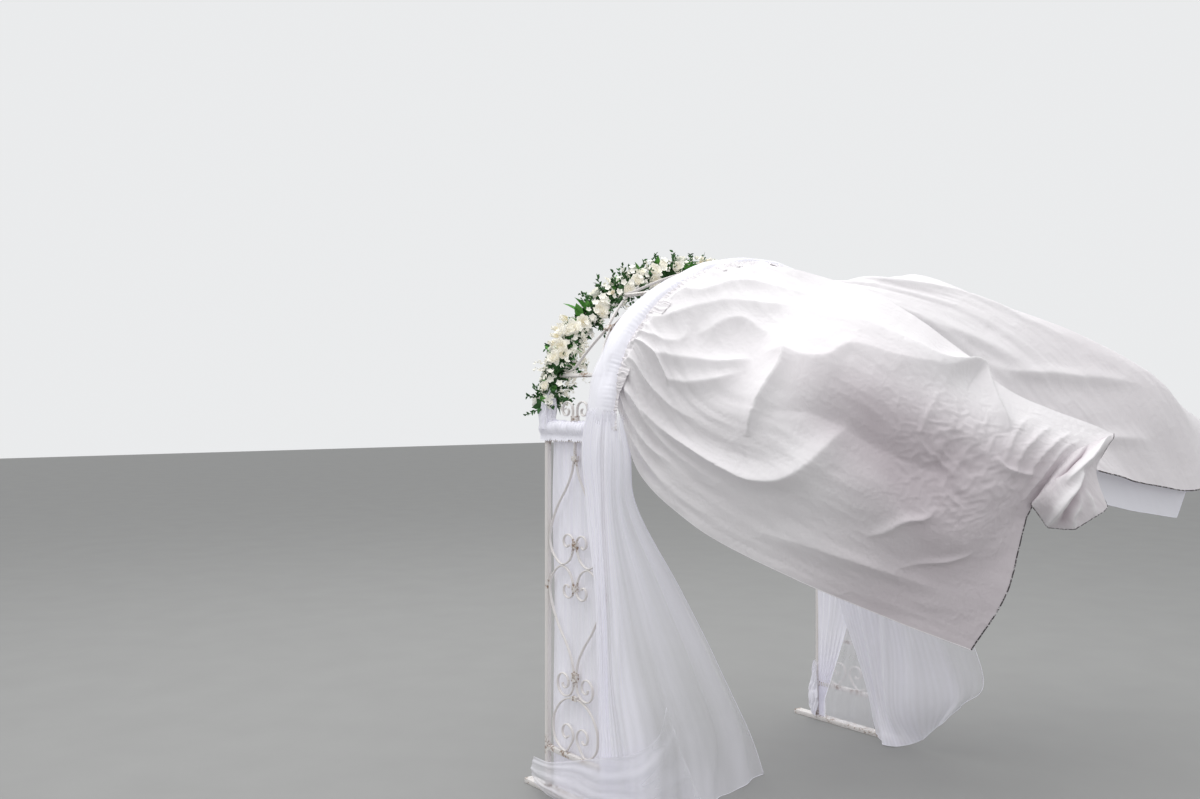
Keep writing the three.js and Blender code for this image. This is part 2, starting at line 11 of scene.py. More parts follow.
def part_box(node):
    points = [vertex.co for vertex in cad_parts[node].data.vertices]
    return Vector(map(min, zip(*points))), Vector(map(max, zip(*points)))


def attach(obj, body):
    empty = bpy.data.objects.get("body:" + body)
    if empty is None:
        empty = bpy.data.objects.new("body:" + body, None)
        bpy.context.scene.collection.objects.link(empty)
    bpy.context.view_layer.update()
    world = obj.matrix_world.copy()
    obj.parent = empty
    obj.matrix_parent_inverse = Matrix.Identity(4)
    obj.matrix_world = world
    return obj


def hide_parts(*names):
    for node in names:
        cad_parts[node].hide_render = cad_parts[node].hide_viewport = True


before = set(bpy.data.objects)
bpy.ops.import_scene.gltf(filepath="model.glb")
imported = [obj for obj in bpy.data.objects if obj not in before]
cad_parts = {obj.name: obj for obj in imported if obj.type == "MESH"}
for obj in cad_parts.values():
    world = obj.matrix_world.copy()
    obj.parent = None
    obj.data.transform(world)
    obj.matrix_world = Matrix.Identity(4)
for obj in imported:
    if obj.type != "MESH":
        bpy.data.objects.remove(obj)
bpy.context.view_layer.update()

bl_info = {
    "name": "Wedding Arch Canopy",
    "version": (1, 0, 0),
    "blender": (4, 5, 0),
    "location": "View3D > Sidebar > Canopy",
    "description": "Builds the visible pieces of a draped wrought-iron wedding arch",
    "category": "Object",
}

TURN = 2 * math.pi

# The frame's own measures, in metres. The part's X starts at the right panel; the arch's middle is here.
MIDDLE = -0.83
HALF_SPAN = 0.83
SPRING = 1.45
RISE = 0.722
HALF_DEPTH = 0.185
POST_INNER = 0.175
RAIL_TOP = 0.19
TUBE = 0.02
PANEL_X = {"right": 0.0, "left": -1.66}
INWARD = {"right": -1.0, "left": 1.0}
CROSSBARS = (20, 55, 90, 125, 160)
HEART_TIP = 0.505
HEART_LOBE = 0.932
HEART_MIRROR = 0.93515
HALF_BAR = 0.006
HALF_COLLAR = 0.0078
SCROLL_FOOT = 0.062
BEAD = 0.0042


# Sizes and colours that a user would change
def colour(name, description, value):
    return FloatVectorProperty(
        name=name, description=description, subtype="COLOR", size=4, min=0, max=1, default=value
    )


def length(name, description, value):
    return FloatProperty(name=name, description=description, default=value, min=0, unit="LENGTH")


class IronSettings(bpy.types.PropertyGroup):
    paint: colour("Paint", "White paint of the iron frame", (0.85, 0.815, 0.795, 1))
    grime: colour("Grime", "Thin brown grime and rust at the joints", (0.30, 0.20, 0.135, 1))
    bar: length("Scroll bar", "Thickness of the flat bar of the scrolls", 0.0064)
    edge: length("Edge radius", "Rounding of the square tubes' edges", 0.0018)


class ClothSettings(bpy.types.PropertyGroup):
    sheet: colour("Sheet", "Colour of the two large sheets", (0.90, 0.875, 0.89, 1))
    # The shade colour is painted shade: the sheets turn to it between their folds and under the crest.
    shade: colour("Sheet shade", "Deeper tint in the hollows of the sheets", (0.56, 0.49, 0.525, 1))
    tulle: colour("Tulle", "Colour of the sheer curtains", (0.93, 0.92, 0.995, 1))
    thread: colour("Hem thread", "Overlock thread along the sheets' hems", (0.06, 0.05, 0.055, 1))
    fold: length("Fold depth", "Depth of the folds that fan out from the headers", 0.011)
    crumple: length("Crumple depth", "Depth of the soft crumples over the sheets", 0.006)


class GarlandSettings(bpy.types.PropertyGroup):
    rose: length("Rose", "Diameter of an open silk rose", 0.074)
    petal: colour("Petals", "Cream white of the silk petals", (0.98, 0.965, 0.915, 1))
    leaf: colour("Leaves", "Green of the small leaves", (0.022, 0.070, 0.018, 1))
    bright: colour("Bright leaves", "Green of the few large leaves", (0.09, 0.27, 0.05, 1))
    sprays: IntProperty(
        name="Sprays", description="Leafy sprays on each half of the garland", default=54, min=1
    )


class StageSettings(bpy.types.PropertyGroup):
    floor: colour("Floor", "Plain pale floor", (0.33, 0.33, 0.325, 1))
    sky: colour("Sky", "Pale studio surround", (0.93, 0.94, 0.95, 1))
    top_light: FloatProperty(
        name="Top light", description="Power of the soft light above", default=300.0, min=0, unit="POWER"
    )


# Materials
def fill(tree, made, values):
    """Sets a node's inputs, or joins them to other nodes' outputs."""
    for key, value in values.items():
        if isinstance(value, bpy.types.NodeSocket):
            tree.links.new(value, made.inputs[key])
        else:
            made.inputs[key].default_value = value
    return made


def node(tree, kind, values=None, **settings):
    """A new node with its settings and inputs."""
    made = tree.nodes.new(kind)
    for key, value in settings.items():
        setattr(made, key, value)
    return fill(tree, made, values or {})


def maths(tree, operation, a, b=0.0):
    return node(tree, "ShaderNodeMath", {0: a, 1: b}, operation=operation).outputs[0]


def scaled(tree, value, by, plus):
    """A value times one number or socket, plus another."""
    return maths(tree, "ADD", maths(tree, "MULTIPLY", value, by), plus)


def noise(tree, place, scale, detail, **more):
    values = {"Vector": place, "Scale": scale, "Detail": detail, **more}
    return node(tree, "ShaderNodeTexNoise", values).outputs["Fac"]


def marked(tree, name):
    """What a mesh's attribute of that name says."""
    return node(tree, "ShaderNodeAttribute", attribute_name=name).outputs["Fac"]


def ramp(tree, factor, *stops):
    made = node(tree, "ShaderNodeValToRGB", {"Fac": factor})
    for element, (place, value) in zip(made.color_ramp.elements, stops, strict=True):
        element.position = place
        element.color = (value, value, value, 1)
    return made.outputs["Color"]


def blend_colours(tree, factor, a, b):
    return node(tree, "ShaderNodeMix", {0: factor, 6: a, 7: b}, data_type="RGBA").outputs[2]


def bump(tree, height, strength, distance):
    values = {"Height": height, "Strength": strength, "Distance": distance}
    return node(tree, "ShaderNodeBump", values).outputs[0]


def toned(tone, share):
    """A colour at a share of its strength."""
    return tuple(share * c for c in tone[:3]) + (1,)


def effect(name, inputs, outputs):
    """An empty node group. An input with no value is a place; all the others and the outputs are numbers."""
    tree = bpy.data.node_groups.new(name, "ShaderNodeTree")
    for label, value in inputs.items():
        kind = "NodeSocketVector" if value is None else "NodeSocketFloat"
        socket = tree.interface.new_socket(name=label, in_out="INPUT", socket_type=kind)
        if value is not None:
            socket.default_value = value
    for label in outputs:
        tree.interface.new_socket(name=label, in_out="OUTPUT", socket_type="NodeSocketFloat")
    return tree, tree.nodes.new("NodeGroupInput"), tree.nodes.new("NodeGroupOutput")


def crumple_effect():
    """Fine wrinkles of thin cloth and its threads as one height, and a broad tone."""
    inputs = {"Place": None, "Wrinkle Size": 14.0, "Threads": 900.0}
    tree, given, out = effect("crumpled_cloth", inputs, ("Height", "Tone"))
    place = given.outputs["Place"]
    slanted = {"Vector": place, "Rotation": (0.3, 0.2, 0.6), "Scale": (1.0, 2.4, 1.0)}
    stretched = node(tree, "ShaderNodeMapping", slanted).outputs[0]
    wide = noise(tree, stretched, given.outputs["Wrinkle Size"], 5.0, Roughness=0.55, Distortion=0.9)
    ridges = maths(tree, "ABSOLUTE", maths(tree, "SUBTRACT", wide, 0.5))
    thread = noise(tree, place, given.outputs["Threads"], 1.0)
    height = scaled(tree, ridges, -1.6, maths(tree, "MULTIPLY", thread, 0.035))
    fill(tree, out, {"Height": height, "Tone": noise(tree, place, scale=2.2, detail=2.0)})
    return tree


def wear_effect():
    """Where paint is thin or grimy: in patches everywhere, and more where the worn attribute says so."""
    tree, given, out = effect("worn_paint", {"Place": None, "Worn": 0.0}, ("Grime", "Height", "Tone"))
    place = given.outputs["Place"]
    patches = noise(tree, place, scale=58.0, detail=6.0, Roughness=0.7)
    chips = node(tree, "ShaderNodeTexVoronoi", {"Vector": place, "Scale": 160.0}).outputs["Distance"]
    grime = ramp(tree, scaled(tree, given.outputs["Worn"], 0.23, patches), (0.66, 0.0), (0.79, 1.0))
    runs = node(tree, "ShaderNodeMapping", {"Vector": place, "Scale": (60.0, 60.0, 6.0)}).outputs[0]
    brush = noise(tree, runs, scale=1.0, detail=3.0)
    chipped = maths(tree, "MULTIPLY", grime, maths(tree, "MULTIPLY", chips, 0.8))
    fill(tree, out, {"Grime": grime, "Height": maths(tree, "SUBTRACT", brush, chipped), "Tone": brush})
    return tree


def placed_effect(tree, name, maker, values):
    """The node group of that name, built at its first use."""
    return node(tree, "ShaderNodeGroup", values, node_tree=bpy.data.node_groups.get(name) or maker())


def crumpled(tree, place, wrinkles, threads):
    values = {"Place": place, "Wrinkle Size": wrinkles, "Threads": threads}
    return placed_effect(tree, "crumpled_cloth", crumple_effect, values)


def finish(name):
    """A new material with its node tree, its Principled BSDF and the object's own coordinates."""
    material = bpy.data.materials.new(name)
    material.use_nodes = True
    tree = material.node_tree
    place = node(tree, "ShaderNodeTexCoord").outputs["Object"]
    return material, tree, tree.nodes["Principled BSDF"], place


def once(name, make):
    return bpy.data.materials.get(name) or make(name)


def white_paint(name):
    settings = bpy.context.scene.canopy_iron
    material, tree, shader, place = finish(name)
    wear = placed_effect(tree, "worn_paint", wear_effect, {"Place": place, "Worn": marked(tree, "worn")})
    grime = wear.outputs["Grime"]
    clean = blend_colours(tree, wear.outputs["Tone"], toned(settings.paint, 0.9), tuple(settings.paint))
    fill(tree, shader, {
        "Base Color": blend_colours(tree, grime, clean, tuple(settings.grime)),
        "Roughness": scaled(tree, grime, 0.35, 0.38),
        "Normal": bump(tree, wear.outputs["Height"], 0.35, 0.0008),
    })
    return material


def sheet_cloth(name):
    settings = bpy.context.scene.canopy_cloth
    material, tree, shader, place = finish(name)
    cloth = crumpled(tree, place, wrinkles=9.0, threads=1400.0)
    # Painted shade: the colour turns towards the shade colour where the mesh marks shade between folds and
    # under the crest, with a little random tone on top.
    painted_shade_and_tone = scaled(tree, cloth.outputs["Tone"], 0.12, marked(tree, "hollow"))
    fill(tree, shader, {
        "Base Color": blend_colours(tree, painted_shade_and_tone, tuple(settings.sheet), tuple(settings.shade)),
        "Roughness": 0.72,
        "Sheen Weight": 0.25,
        "Sheen Roughness": 0.5,
        "Normal": bump(tree, cloth.outputs["Height"], 0.5, 0.004),
    })
    return material


def tulle(name, density, painted_glow):
    """Sheer net: it lets light through between its threads, and has a faint painted glow that stands in for
    light coming through it.
    """
    settings = bpy.context.scene.canopy_cloth
    material, tree, shader, place = finish(name)
    cloth = crumpled(tree, place, wrinkles=12.0, threads=1800.0)
    tone = cloth.outputs["Tone"]
    woven_tone = blend_colours(tree, tone, tuple(settings.tulle), toned(settings.tulle, 0.94))
    net = scaled(tree, maths(tree, "SUBTRACT", tone, 0.5), 0.35, density)
    cover = {0: scaled(tree, marked(tree, "gather"), 0.45, net), 1: 0.0}
    fill(tree, shader, {
        "Base Color": woven_tone,
        "Emission Color": woven_tone,
        "Emission Strength": painted_glow,
        "Alpha": node(tree, "ShaderNodeMath", cover, operation="MAXIMUM", use_clamp=True).outputs[0],
        "Roughness": 0.8,
        "Sheen Weight": 0.3,
        "Normal": bump(tree, cloth.outputs["Height"], 0.3, 0.003),
    })
    return material


def petal_silk(name):
    settings = bpy.context.scene.canopy_garland
    material, tree, shader, place = finish(name)
    cloth = crumpled(tree, place, wrinkles=60.0, threads=1500.0)
    warm = (0.86, 0.78, 0.55, 1)
    tone = blend_colours(tree, marked(tree, "depth"), tuple(settings.petal), warm)
    # Painted glow: the petals emit a little of their own colour, in place of light that comes through thin
    # silk.
    fill(tree, shader, {
        "Base Color": tone,
        "Emission Color": tone,
        "Emission Strength": 0.10,
        "Roughness": 0.7,
        "Sheen Weight": 0.2,
        "Normal": bump(tree, cloth.outputs["Height"], 0.25, 0.002),
    })
    return material


def leaf_silk(name, tone, spread):
    """Printed cloth leaves whose green varies in patches, with a paler vein."""
    material, tree, shader, place = finish(name)
    patches = noise(tree, place, scale=26.0, detail=3.0)
    pale = tuple(min(1.0, c * spread + 0.012) for c in tone[:3]) + (1,)
    body = blend_colours(tree, ramp(tree, patches, (0.35, 0.0), (0.65, 1.0)), tuple(tone), pale)
    vein = maths(tree, "MULTIPLY", marked(tree, "depth"), 0.35)
    fill(tree, shader, {
        "Base Color": blend_colours(tree, vein, body, pale),
        "Roughness": 0.6,
        "Specular IOR Level": 0.22,
        "Normal": bump(tree, patches, 0.3, 0.002),
    })
    return material


def pale_floor(name):
    """A plain surface with a fine grain."""
    tone = bpy.context.scene.canopy_stage.floor
    material, tree, shader, place = finish(name)
    grain = noise(tree, place, scale=3.0, detail=4.0)
    fill(tree, shader, {
        "Base Color": blend_colours(tree, grain, tuple(tone), toned(tone, 0.9)),
        "Roughness": 0.9,
        "Normal": bump(tree, grain, 0.1, 0.001),
    })
    return material


def hem_thread(name):
    """Overlock stitches: dark loops with the cloth between them."""
    settings = bpy.context.scene.canopy_cloth
    material, tree, shader, place = finish(name)
    stitches = noise(tree, place, scale=120.0, detail=1.0)
    dark = ramp(tree, stitches, (0.50, 1.0), (0.64, 0.35))
    fill(tree, shader, {
        "Base Color": blend_colours(tree, dark, tuple(settings.sheet), tuple(settings.thread)),
        "Roughness": 0.9,
        "Normal": bump(tree, stitches, 0.5, 0.001),
    })
    return material


# How closely each kind of tulle covers what is behind it, and how much painted glow it has
TULLES = {
    "curtain": (0.84, 0.09),
    "side": (0.72, 0.08),
    "header": (0.84, 0.06),
    "lining": (0.74, 0.08),
    "far": (0.66, 0.0),
    "swag": (0.30, 0.0),
}


def tulle_of(kind):
    return once(f"tulle_{kind}", lambda name: tulle(name, *TULLES[kind]))


# Meshes
def keep(name, mesh, material, crease=None):
    """A finished piece that rides on the frame; its edges are sharp past so many degrees of crease."""
    piece = bpy.data.objects.new(name, mesh)
    bpy.context.scene.collection.objects.link(piece)
    mesh.materials.clear()
    mesh.materials.append(material)
    mesh.polygons.foreach_set("use_smooth", [True] * len(mesh.polygons))
    mesh.update()
    if crease:
        mesh.set_sharp_from_angle(angle=math.radians(crease))
    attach(piece, "root")
    return piece


def mesh_of(bm, name):
    mesh = bpy.data.meshes.new(name)
    bm.to_mesh(mesh)
    bm.free()
    return mesh


def attribute(mesh, name, values):
    layer = mesh.attributes.new(name, "FLOAT", "POINT")
    layer.data.foreach_set("value", np.asarray(values, np.float32))


def points_of(mesh):
    flat = np.zeros(3 * len(mesh.vertices), np.float32)
    mesh.vertices.foreach_get("co", flat)
    return flat.reshape(-1, 3).astype(float)


def set_points(mesh, points):
    mesh.vertices.foreach_set("co", np.asarray(points, np.float32).ravel())
    mesh.update()


def curl(centre, radii, angles, steps):
    """Points of a curl about a centre, from the first radius and angle in degrees to the second."""
    made = []
    for i in range(steps + 1):
        t = i / steps
        angle = math.radians(angles[0] + (angles[1] - angles[0]) * t)
        radius = radii[0] + (radii[1] - radii[0]) * t
        made.append((centre[0] + radius * math.cos(angle), centre[1] + radius * math.sin(angle)))
    return made


def spline(points, t):
    """Places t, from 0 to 1, on a smooth line through points, or on one line for each t."""
    points = np.asarray(points, float)
    if points.ndim == 2:
        points = np.repeat(points[:, None], len(t), 1)
    p = np.concatenate([(2 * points[0] - points[1])[None], points, (2 * points[-1] - points[-2])[None]])
    n = len(points) - 1
    place = np.clip(t, 0, 1) * n
    k = np.minimum(place.astype(int), n - 1)
    w = (place - k)[:, None]
    m = np.arange(len(t))
    p0, p1, p2, p3 = (p[k + i, m] for i in range(4))
    pairs = ((p1 - p0), (p2 - p1), (p3 - p2))
    d0, d1, d2 = (np.maximum(np.linalg.norm(d, axis=1), 1e-6)[:, None] ** 0.5 for d in pairs)
    t1 = ((p1 - p0) / d0 - (p2 - p0) / (d0 + d1) + (p2 - p1) / d1) * d1
    t2 = ((p2 - p1) / d1 - (p3 - p1) / (d1 + d2) + (p3 - p2) / d2) * d1
    return p1 + t1 * w + (-3 * p1 + 3 * p2 - 2 * t1 - t2) * w**2 + (2 * p1 - 2 * p2 + t1 + t2) * w**3


def in_part(points):
    """From millimetres about the arch's middle to the part's metres."""
    return np.asarray(points, float) * 0.001 + np.array([MIDDLE, 0, 0])


def surface_of(rows):
    """A smooth surface, in metres, through rows of points: u runs over the rows and v along each."""
    lines = [in_part(row) for row in rows]
    return lambda u, v: spline(np.stack([spline(line, v) for line in lines]), u)


def normals_of(surface, u, v, step=0.004):
    """Directions square to a surface, on the sheets' upper side."""
    across = surface(np.clip(u + step, 0, 1), v) - surface(np.clip(u - step, 0, 1), v)
    along = surface(u, np.clip(v + step, 0, 1)) - surface(u, np.clip(v - step, 0, 1))
    normal = np.cross(along, across)
    return normal / np.maximum(np.linalg.norm(normal, axis=1, keepdims=True), 1e-9)


def cloud(u, v, cells, seed):
    """Soft noise from -1 to 1 over u and v, with so many cells each way."""
    lattice = np.random.RandomState(seed).uniform(-1, 1, (cells[0] + 3, cells[1] + 3))
    x, y = np.clip(u, 0, 1) * cells[0], np.clip(v, 0, 1) * cells[1]
    i, j = np.floor(x).astype(int), np.floor(y).astype(int)
    a, b = x - i, y - j
    a, b = a * a * (3 - 2 * a), b * b * (3 - 2 * b)
    low = lattice[i, j] * (1 - a) + lattice[i + 1, j] * a
    high = lattice[i, j + 1] * (1 - a) + lattice[i + 1, j + 1] * a
    return low * (1 - b) + high * b


def ridge(u, v, size, line, sharp=1.6):
    """A soft fold along a line of (u, v, height, width) points; heights and widths in metres."""
    line = spline(np.array(line, float), np.linspace(0, 1, 4 * len(line)))
    x, y = u * size[0], v * size[1]
    nearest = np.full(len(u), 1e9)
    raised = np.zeros(len(u))
    for a, b in zip(line, line[1:]):
        ax, ay, bx, by = a[0] * size[0], a[1] * size[1], b[0] * size[0], b[1] * size[1]
        run = max((bx - ax) ** 2 + (by - ay) ** 2, 1e-9)
        s = np.clip(((x - ax) * (bx - ax) + (y - ay) * (by - ay)) / run, 0, 1)
        away = np.hypot(x - ax - s * (bx - ax), y - ay - s * (by - ay))
        height, width = a[2] + (b[2] - a[2]) * s, a[3] + (b[3] - a[3]) * s
        here = away < nearest
        nearest = np.where(here, away, nearest)
        raised = np.where(here, height * np.exp(-((away / width) ** sharp)), raised)
    return raised


def woven(name, surface, cells, material, shape=None, marks=None):
    """A sheet of cloth: a grid laid on the surface, with shape(u, v) metres of fold along its normal."""
    bm = bmesh.new()
    bm.loops.layers.uv.new("cloth")
    bmesh.ops.create_grid(bm, x_segments=cells[0], y_segments=cells[1], size=1.0, calc_uvs=True)
    mesh = mesh_of(bm, name)
    flat = points_of(mesh)
    u, v = (flat[:, 0] + 1) / 2, (flat[:, 1] + 1) / 2
    points = surface(u, v)
    if shape:
        points = points + normals_of(surface, u, v) * shape(u, v)[:, None]
    set_points(mesh, points)
    for key, value in (marks(u, v) if marks else {}).items():
        attribute(mesh, key, value)
    return keep(name, mesh, material)


def settle(piece, held, grow, frames=20):
    """Lets a cloth buckle: it grows by a share of its size while each point is softly held where it was."""
    group = piece.vertex_groups.new(name="held")
    for index, weight in enumerate(held):
        group.add([index], float(weight), "REPLACE")
    modifier = piece.modifiers.new("settle", "CLOTH")
    cloth = modifier.settings
    cloth.quality = 5
    cloth.mass = 0.2
    cloth.air_damping = 4.0
    cloth.tension_stiffness = 20.0
    cloth.compression_stiffness = 20.0
    cloth.shear_stiffness = 10.0
    cloth.bending_stiffness = 0.2
    cloth.shrink_min = -grow
    cloth.vertex_group_mass = "held"
    cloth.pin_stiffness = 1.0
    cloth.effector_weights.gravity = 0.0
    modifier.collision_settings.use_collision = False
    modifier.point_cache.frame_end = frames
    scene = bpy.context.scene
    for frame_number in range(1, frames + 1):
        scene.frame_set(frame_number)
    settled = bpy.data.meshes.new_from_object(piece.evaluated_get(bpy.context.evaluated_depsgraph_get()))
    piece.modifiers.remove(modifier)
    set_points(piece.data, points_of(settled))
    bpy.data.meshes.remove(settled)
    scene.frame_set(1)


def tube_along(points, radius, resolution=1, extrude=0.0):
    """A mesh of a round or flat bar along points; a flat bar is deeper through the drawing's plane."""
    data = bpy.data.curves.new("bar", "CURVE")
    data.dimensions = "3D"
    data.twist_mode = "Z_UP"
    data.extrude = extrude
    data.bevel_depth = radius
    data.bevel_resolution = resolution
    data.use_fill_caps = True
    line = data.splines.new("POLY")
    line.points.add(len(points) - 1)
    for point, place in zip(line.points, points):
        point.co = (*(tuple(place) + (0.0,) * (3 - len(place))), 1.0)
    holder = bpy.data.objects.new("bar", data)
    bpy.context.scene.collection.objects.link(holder)
    mesh = bpy.data.meshes.new_from_object(holder.evaluated_get(bpy.context.evaluated_depsgraph_get()))
    bpy.data.objects.remove(holder)
    bpy.data.curves.remove(data)
    return mesh


def rounded(bm, edges, width):
    bmesh.ops.bevel(bm, geom=edges, offset=width, segments=2, profile=0.5, affect="EDGES", material=-1)


def block(bm, low, high, bevel):
    """A box between two corners with rounded edges."""
    low, high = Vector(low), Vector(high)
    made = bmesh.ops.create_cube(bm, size=1.0)["verts"]
    size = Matrix.Diagonal((*(high - low), 1))
    bmesh.ops.transform(bm, matrix=Matrix.Translation((low + high) / 2) @ size, verts=made)
    rounded(bm, list({edge for vert in made for edge in vert.link_edges}), bevel)


def weld(bm, place, radius, seed):
    """A small rough bead of weld."""
    made = bmesh.ops.create_icosphere(bm, subdivisions=2, radius=radius)["verts"]
    rough = np.random.RandomState(seed)
    for vert in made:
        vert.co *= 1 + 0.16 * rough.uniform(-1, 1)
    bmesh.ops.transform(bm, matrix=Matrix.Translation(place), verts=made)


# Scroll drawings, in metres across and up
def across_of(points):
    return [(-a, b) for a, b in points]


def upside_down(points):
    return [(a, 2 * HEART_MIRROR - b) for a, b in points]


def smooth_line(points, count):
    flat = np.array([(a, b, 0.0) for a, b in points])
    return [tuple(p[:2]) for p in spline(flat, np.linspace(0, 1, count))]


def arch_half():
    foot = RAIL_TOP + 0.0033
    points = curl((0, 0.268), (0.146, 0.150), (90, 15), 5) + [(0.140, 0.240), (0.104, 0.204), (0.062, foot)]
    return points + curl((0.056, 0.266), (0.050, 0.014), (-120, -500), 8)


def small_half():
    return [(0.009, 0.494), (0.013, 0.452)] + curl((0.072, 0.466), (0.056, 0.012), (-130, 350), 10)


def heart_half():
    points = [(0.006, HEART_TIP), (0.022, 0.565), (0.060, 0.628), (0.112, 0.692), (0.154, 0.768)]
    points += [(0.1717, 0.840), (0.146, 0.896), (0.088, HEART_LOBE), (0.034, 0.908)]
    return points + curl((0.050, 0.842), (0.041, 0.012), (180, 500), 8)


def hook_half():
    points = [(0.062, SPRING + 0.0003), (0.034, 1.486), (0.015, 1.535)]
    return points + curl((0.054, 1.556), (0.040, 0.008), (150, -230), 8)


def bay_half(run):
    reach = POST_INNER - 0.0033
    inner = curl((reach - 0.0385, 0.057), (0.012, 0.062), (560, 180), 9)
    outer = [(a, run - s) for a, s in inner][::-1]
    return inner + [(0.016, run / 2 - 0.012), (0.016, run / 2 + 0.012)] + outer


# Each pair of scrolls: half of it, its collars (half width, low, high) and its stems, as corners
PANEL_SCROLLS = {
    "arch_scrolls": (arch_half, [(0.016, 0.408, 0.422)], []),
    "small_scrolls": (small_half, [(0.016, 0.484, 0.4957)], []),
    "heart_scroll": (heart_half, [(0.016, 0.496, 0.514), (0.014, 0.840, 0.858)], []),
    "inverted_heart_scroll": (
        lambda: upside_down(heart_half()),
        [(0.016, 1.3563, 1.3743), (0.014, 1.0123, 1.0303)],
        [(-0.004, 1.3653, 0.004, 1.4297)],
    ),
    "hook_scrolls": (hook_half, [(0.020, 1.518, 1.534)], []),
}


def scroll_bars(half, clasps, stems, count, bar):
    """A mirrored pair of bent flat bars with collars bent round both, drawn in the XY plane."""
    bm = bmesh.new()
    radius, lip = bar / 2, 0.0006
    line = smooth_line(half, count)
    for side in (line, across_of(line)):
        mesh = tube_along(side, radius, resolution=2, extrude=HALF_BAR - radius)
        bm.from_mesh(mesh)
        bpy.data.meshes.remove(mesh)
    for wide, low, high in clasps:
        block(bm, (-wide, low, -HALF_COLLAR), (wide, high, HALF_COLLAR), 0.0016)
        broad, deep = wide + lip, HALF_COLLAR + lip
        for edge in (low, high):
            block(bm, (-broad, edge - 2 * lip, -deep), (broad, edge + 2 * lip, deep), lip)
    for x0, y0, x1, y1 in stems:
        block(bm, (x0, y0, -HALF_BAR), (x1, y1, HALF_BAR), 0.0012)
    return bm


def mark_wear(mesh, spots, reach):
    """Writes how near each point is to a joint, where the paint is thin."""
    points = points_of(mesh)
    near = np.zeros(len(points))
    for spot in spots:
        away = np.linalg.norm(points - np.array(spot), axis=1)
        near = np.maximum(near, np.exp(-((away / reach) ** 2)))
    attribute(mesh, "worn", near)


def painted(name, bm, spots, reach, crease=None, solid=None):
    """A painted piece of the frame, worn near its joints, in place of a solid where one is named."""
    mesh = mesh_of(bm, name)
    mark_wear(mesh, spots, reach)
    piece = keep(name, mesh, once("worn_white_paint", white_paint), crease)
    if solid:
        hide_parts(solid)


def aimed(way, axis, up):
    """A turn that points an axis along the way."""
    return way.to_track_quat(axis, up).to_matrix().to_4x4()


def in_panel(side):
    """From a drawing (across, up, through) to the plane of a side panel."""
    turn = Matrix(((0, 0, 1, 0), (1, 0, 0, 0), (0, 1, 0, 0), (0, 0, 0, 1)))
    return Matrix.Translation((PANEL_X[side], 0, 0)) @ turn


def arch_point(degrees, y=0.0, lift=0.0):
    """Places on the curve of both arcs, in degrees up from the right, moved along Y and outwards."""
    a = np.radians(np.asarray(degrees, float))
    out = np.stack([np.cos(a) / HALF_SPAN, 0 * a, np.sin(a) / RISE], -1)
    out /= np.linalg.norm(out, axis=-1, keepdims=True)
    base = np.stack([MIDDLE + HALF_SPAN * np.cos(a), 0 * a + y, SPRING + RISE * np.sin(a)], -1)
    return base + out * np.asarray(lift)[..., None]


def arch_frame(degrees):
    """Outward and forward directions of the arch at an angle; forward runs with the growing angle."""
    a = math.radians(degrees)
    out = Vector((math.cos(a) / HALF_SPAN, 0, math.sin(a) / RISE)).normalized()
    return out, Vector((-out.z, 0, out.x))


def arch_run(start, end, steps=60):
    points = arch_point(np.linspace(start, end, steps))
    return float(np.linalg.norm(np.diff(points, axis=0), axis=1).sum())


# Operators
class CANOPY_OT_stage(bpy.types.Operator):
    """Set up the camera, the plain floor and the soft light"""

    bl_idname = "canopy.stage"
    bl_label = "Stage and Light"

    camera_place = (2.6016, 3.4948, 1.600)
    focal_length = 33.0
    floor_reach = 30.0
    lamp_place = (0.0, -0.6, 6.8)
    lamp_aim = (-0.9, 1.0, -6.6)
    lamp_size = 8.0

    def execute(self, context):
        settings = context.scene.canopy_stage
        lens = bpy.data.cameras.new("camera")
        lens.lens = self.focal_length
        lens.sensor_width = 36.0
        lens.sensor_fit = "HORIZONTAL"
        camera = bpy.data.objects.new("camera", lens)
        forward = Vector((-0.6151, -0.7884, 0)).normalized()
        right = Vector((-0.7884, 0.6151, 0)).normalized()
        turn = Matrix((right, (0, 0, 1), -forward)).transposed().to_4x4()
        camera.matrix_world = Matrix.Translation(self.camera_place) @ turn
        context.scene.collection.objects.link(camera)
        context.scene.camera = camera

        bm = bmesh.new()
        bmesh.ops.create_grid(bm, x_segments=2, y_segments=2, size=self.floor_reach)
        floor = bpy.data.objects.new("floor", mesh_of(bm, "floor"))
        context.scene.collection.objects.link(floor)
        floor.data.materials.append(once("pale_floor", pale_floor))

        world = bpy.data.worlds.new("studio")
        context.scene.world = world
        world.use_nodes = True
        tree = world.node_tree
        way = node(tree, "ShaderNodeTexCoord").outputs["Generated"]
        ahead = node(tree, "ShaderNodeVectorMath", {0: way, 1: tuple(forward)}, operation="DOT_PRODUCT")
        strength = scaled(tree, ahead.outputs["Value"], 0.03, 0.86)
        fill(tree, tree.nodes["Background"], {"Color": tuple(settings.sky), "Strength": strength})
        context.scene.view_settings.view_transform = "Standard"

        lamp = bpy.data.lights.new("top_light", "AREA")
        lamp.shape = "SQUARE"
        lamp.size = self.lamp_size
        lamp.energy = settings.top_light
        above = bpy.data.objects.new("top_light", lamp)
        above.matrix_world = Matrix.Translation(self.lamp_place) @ aimed(Vector(self.lamp_aim), "-Z", "Y")
        context.scene.collection.objects.link(above)
        return {"FINISHED"}


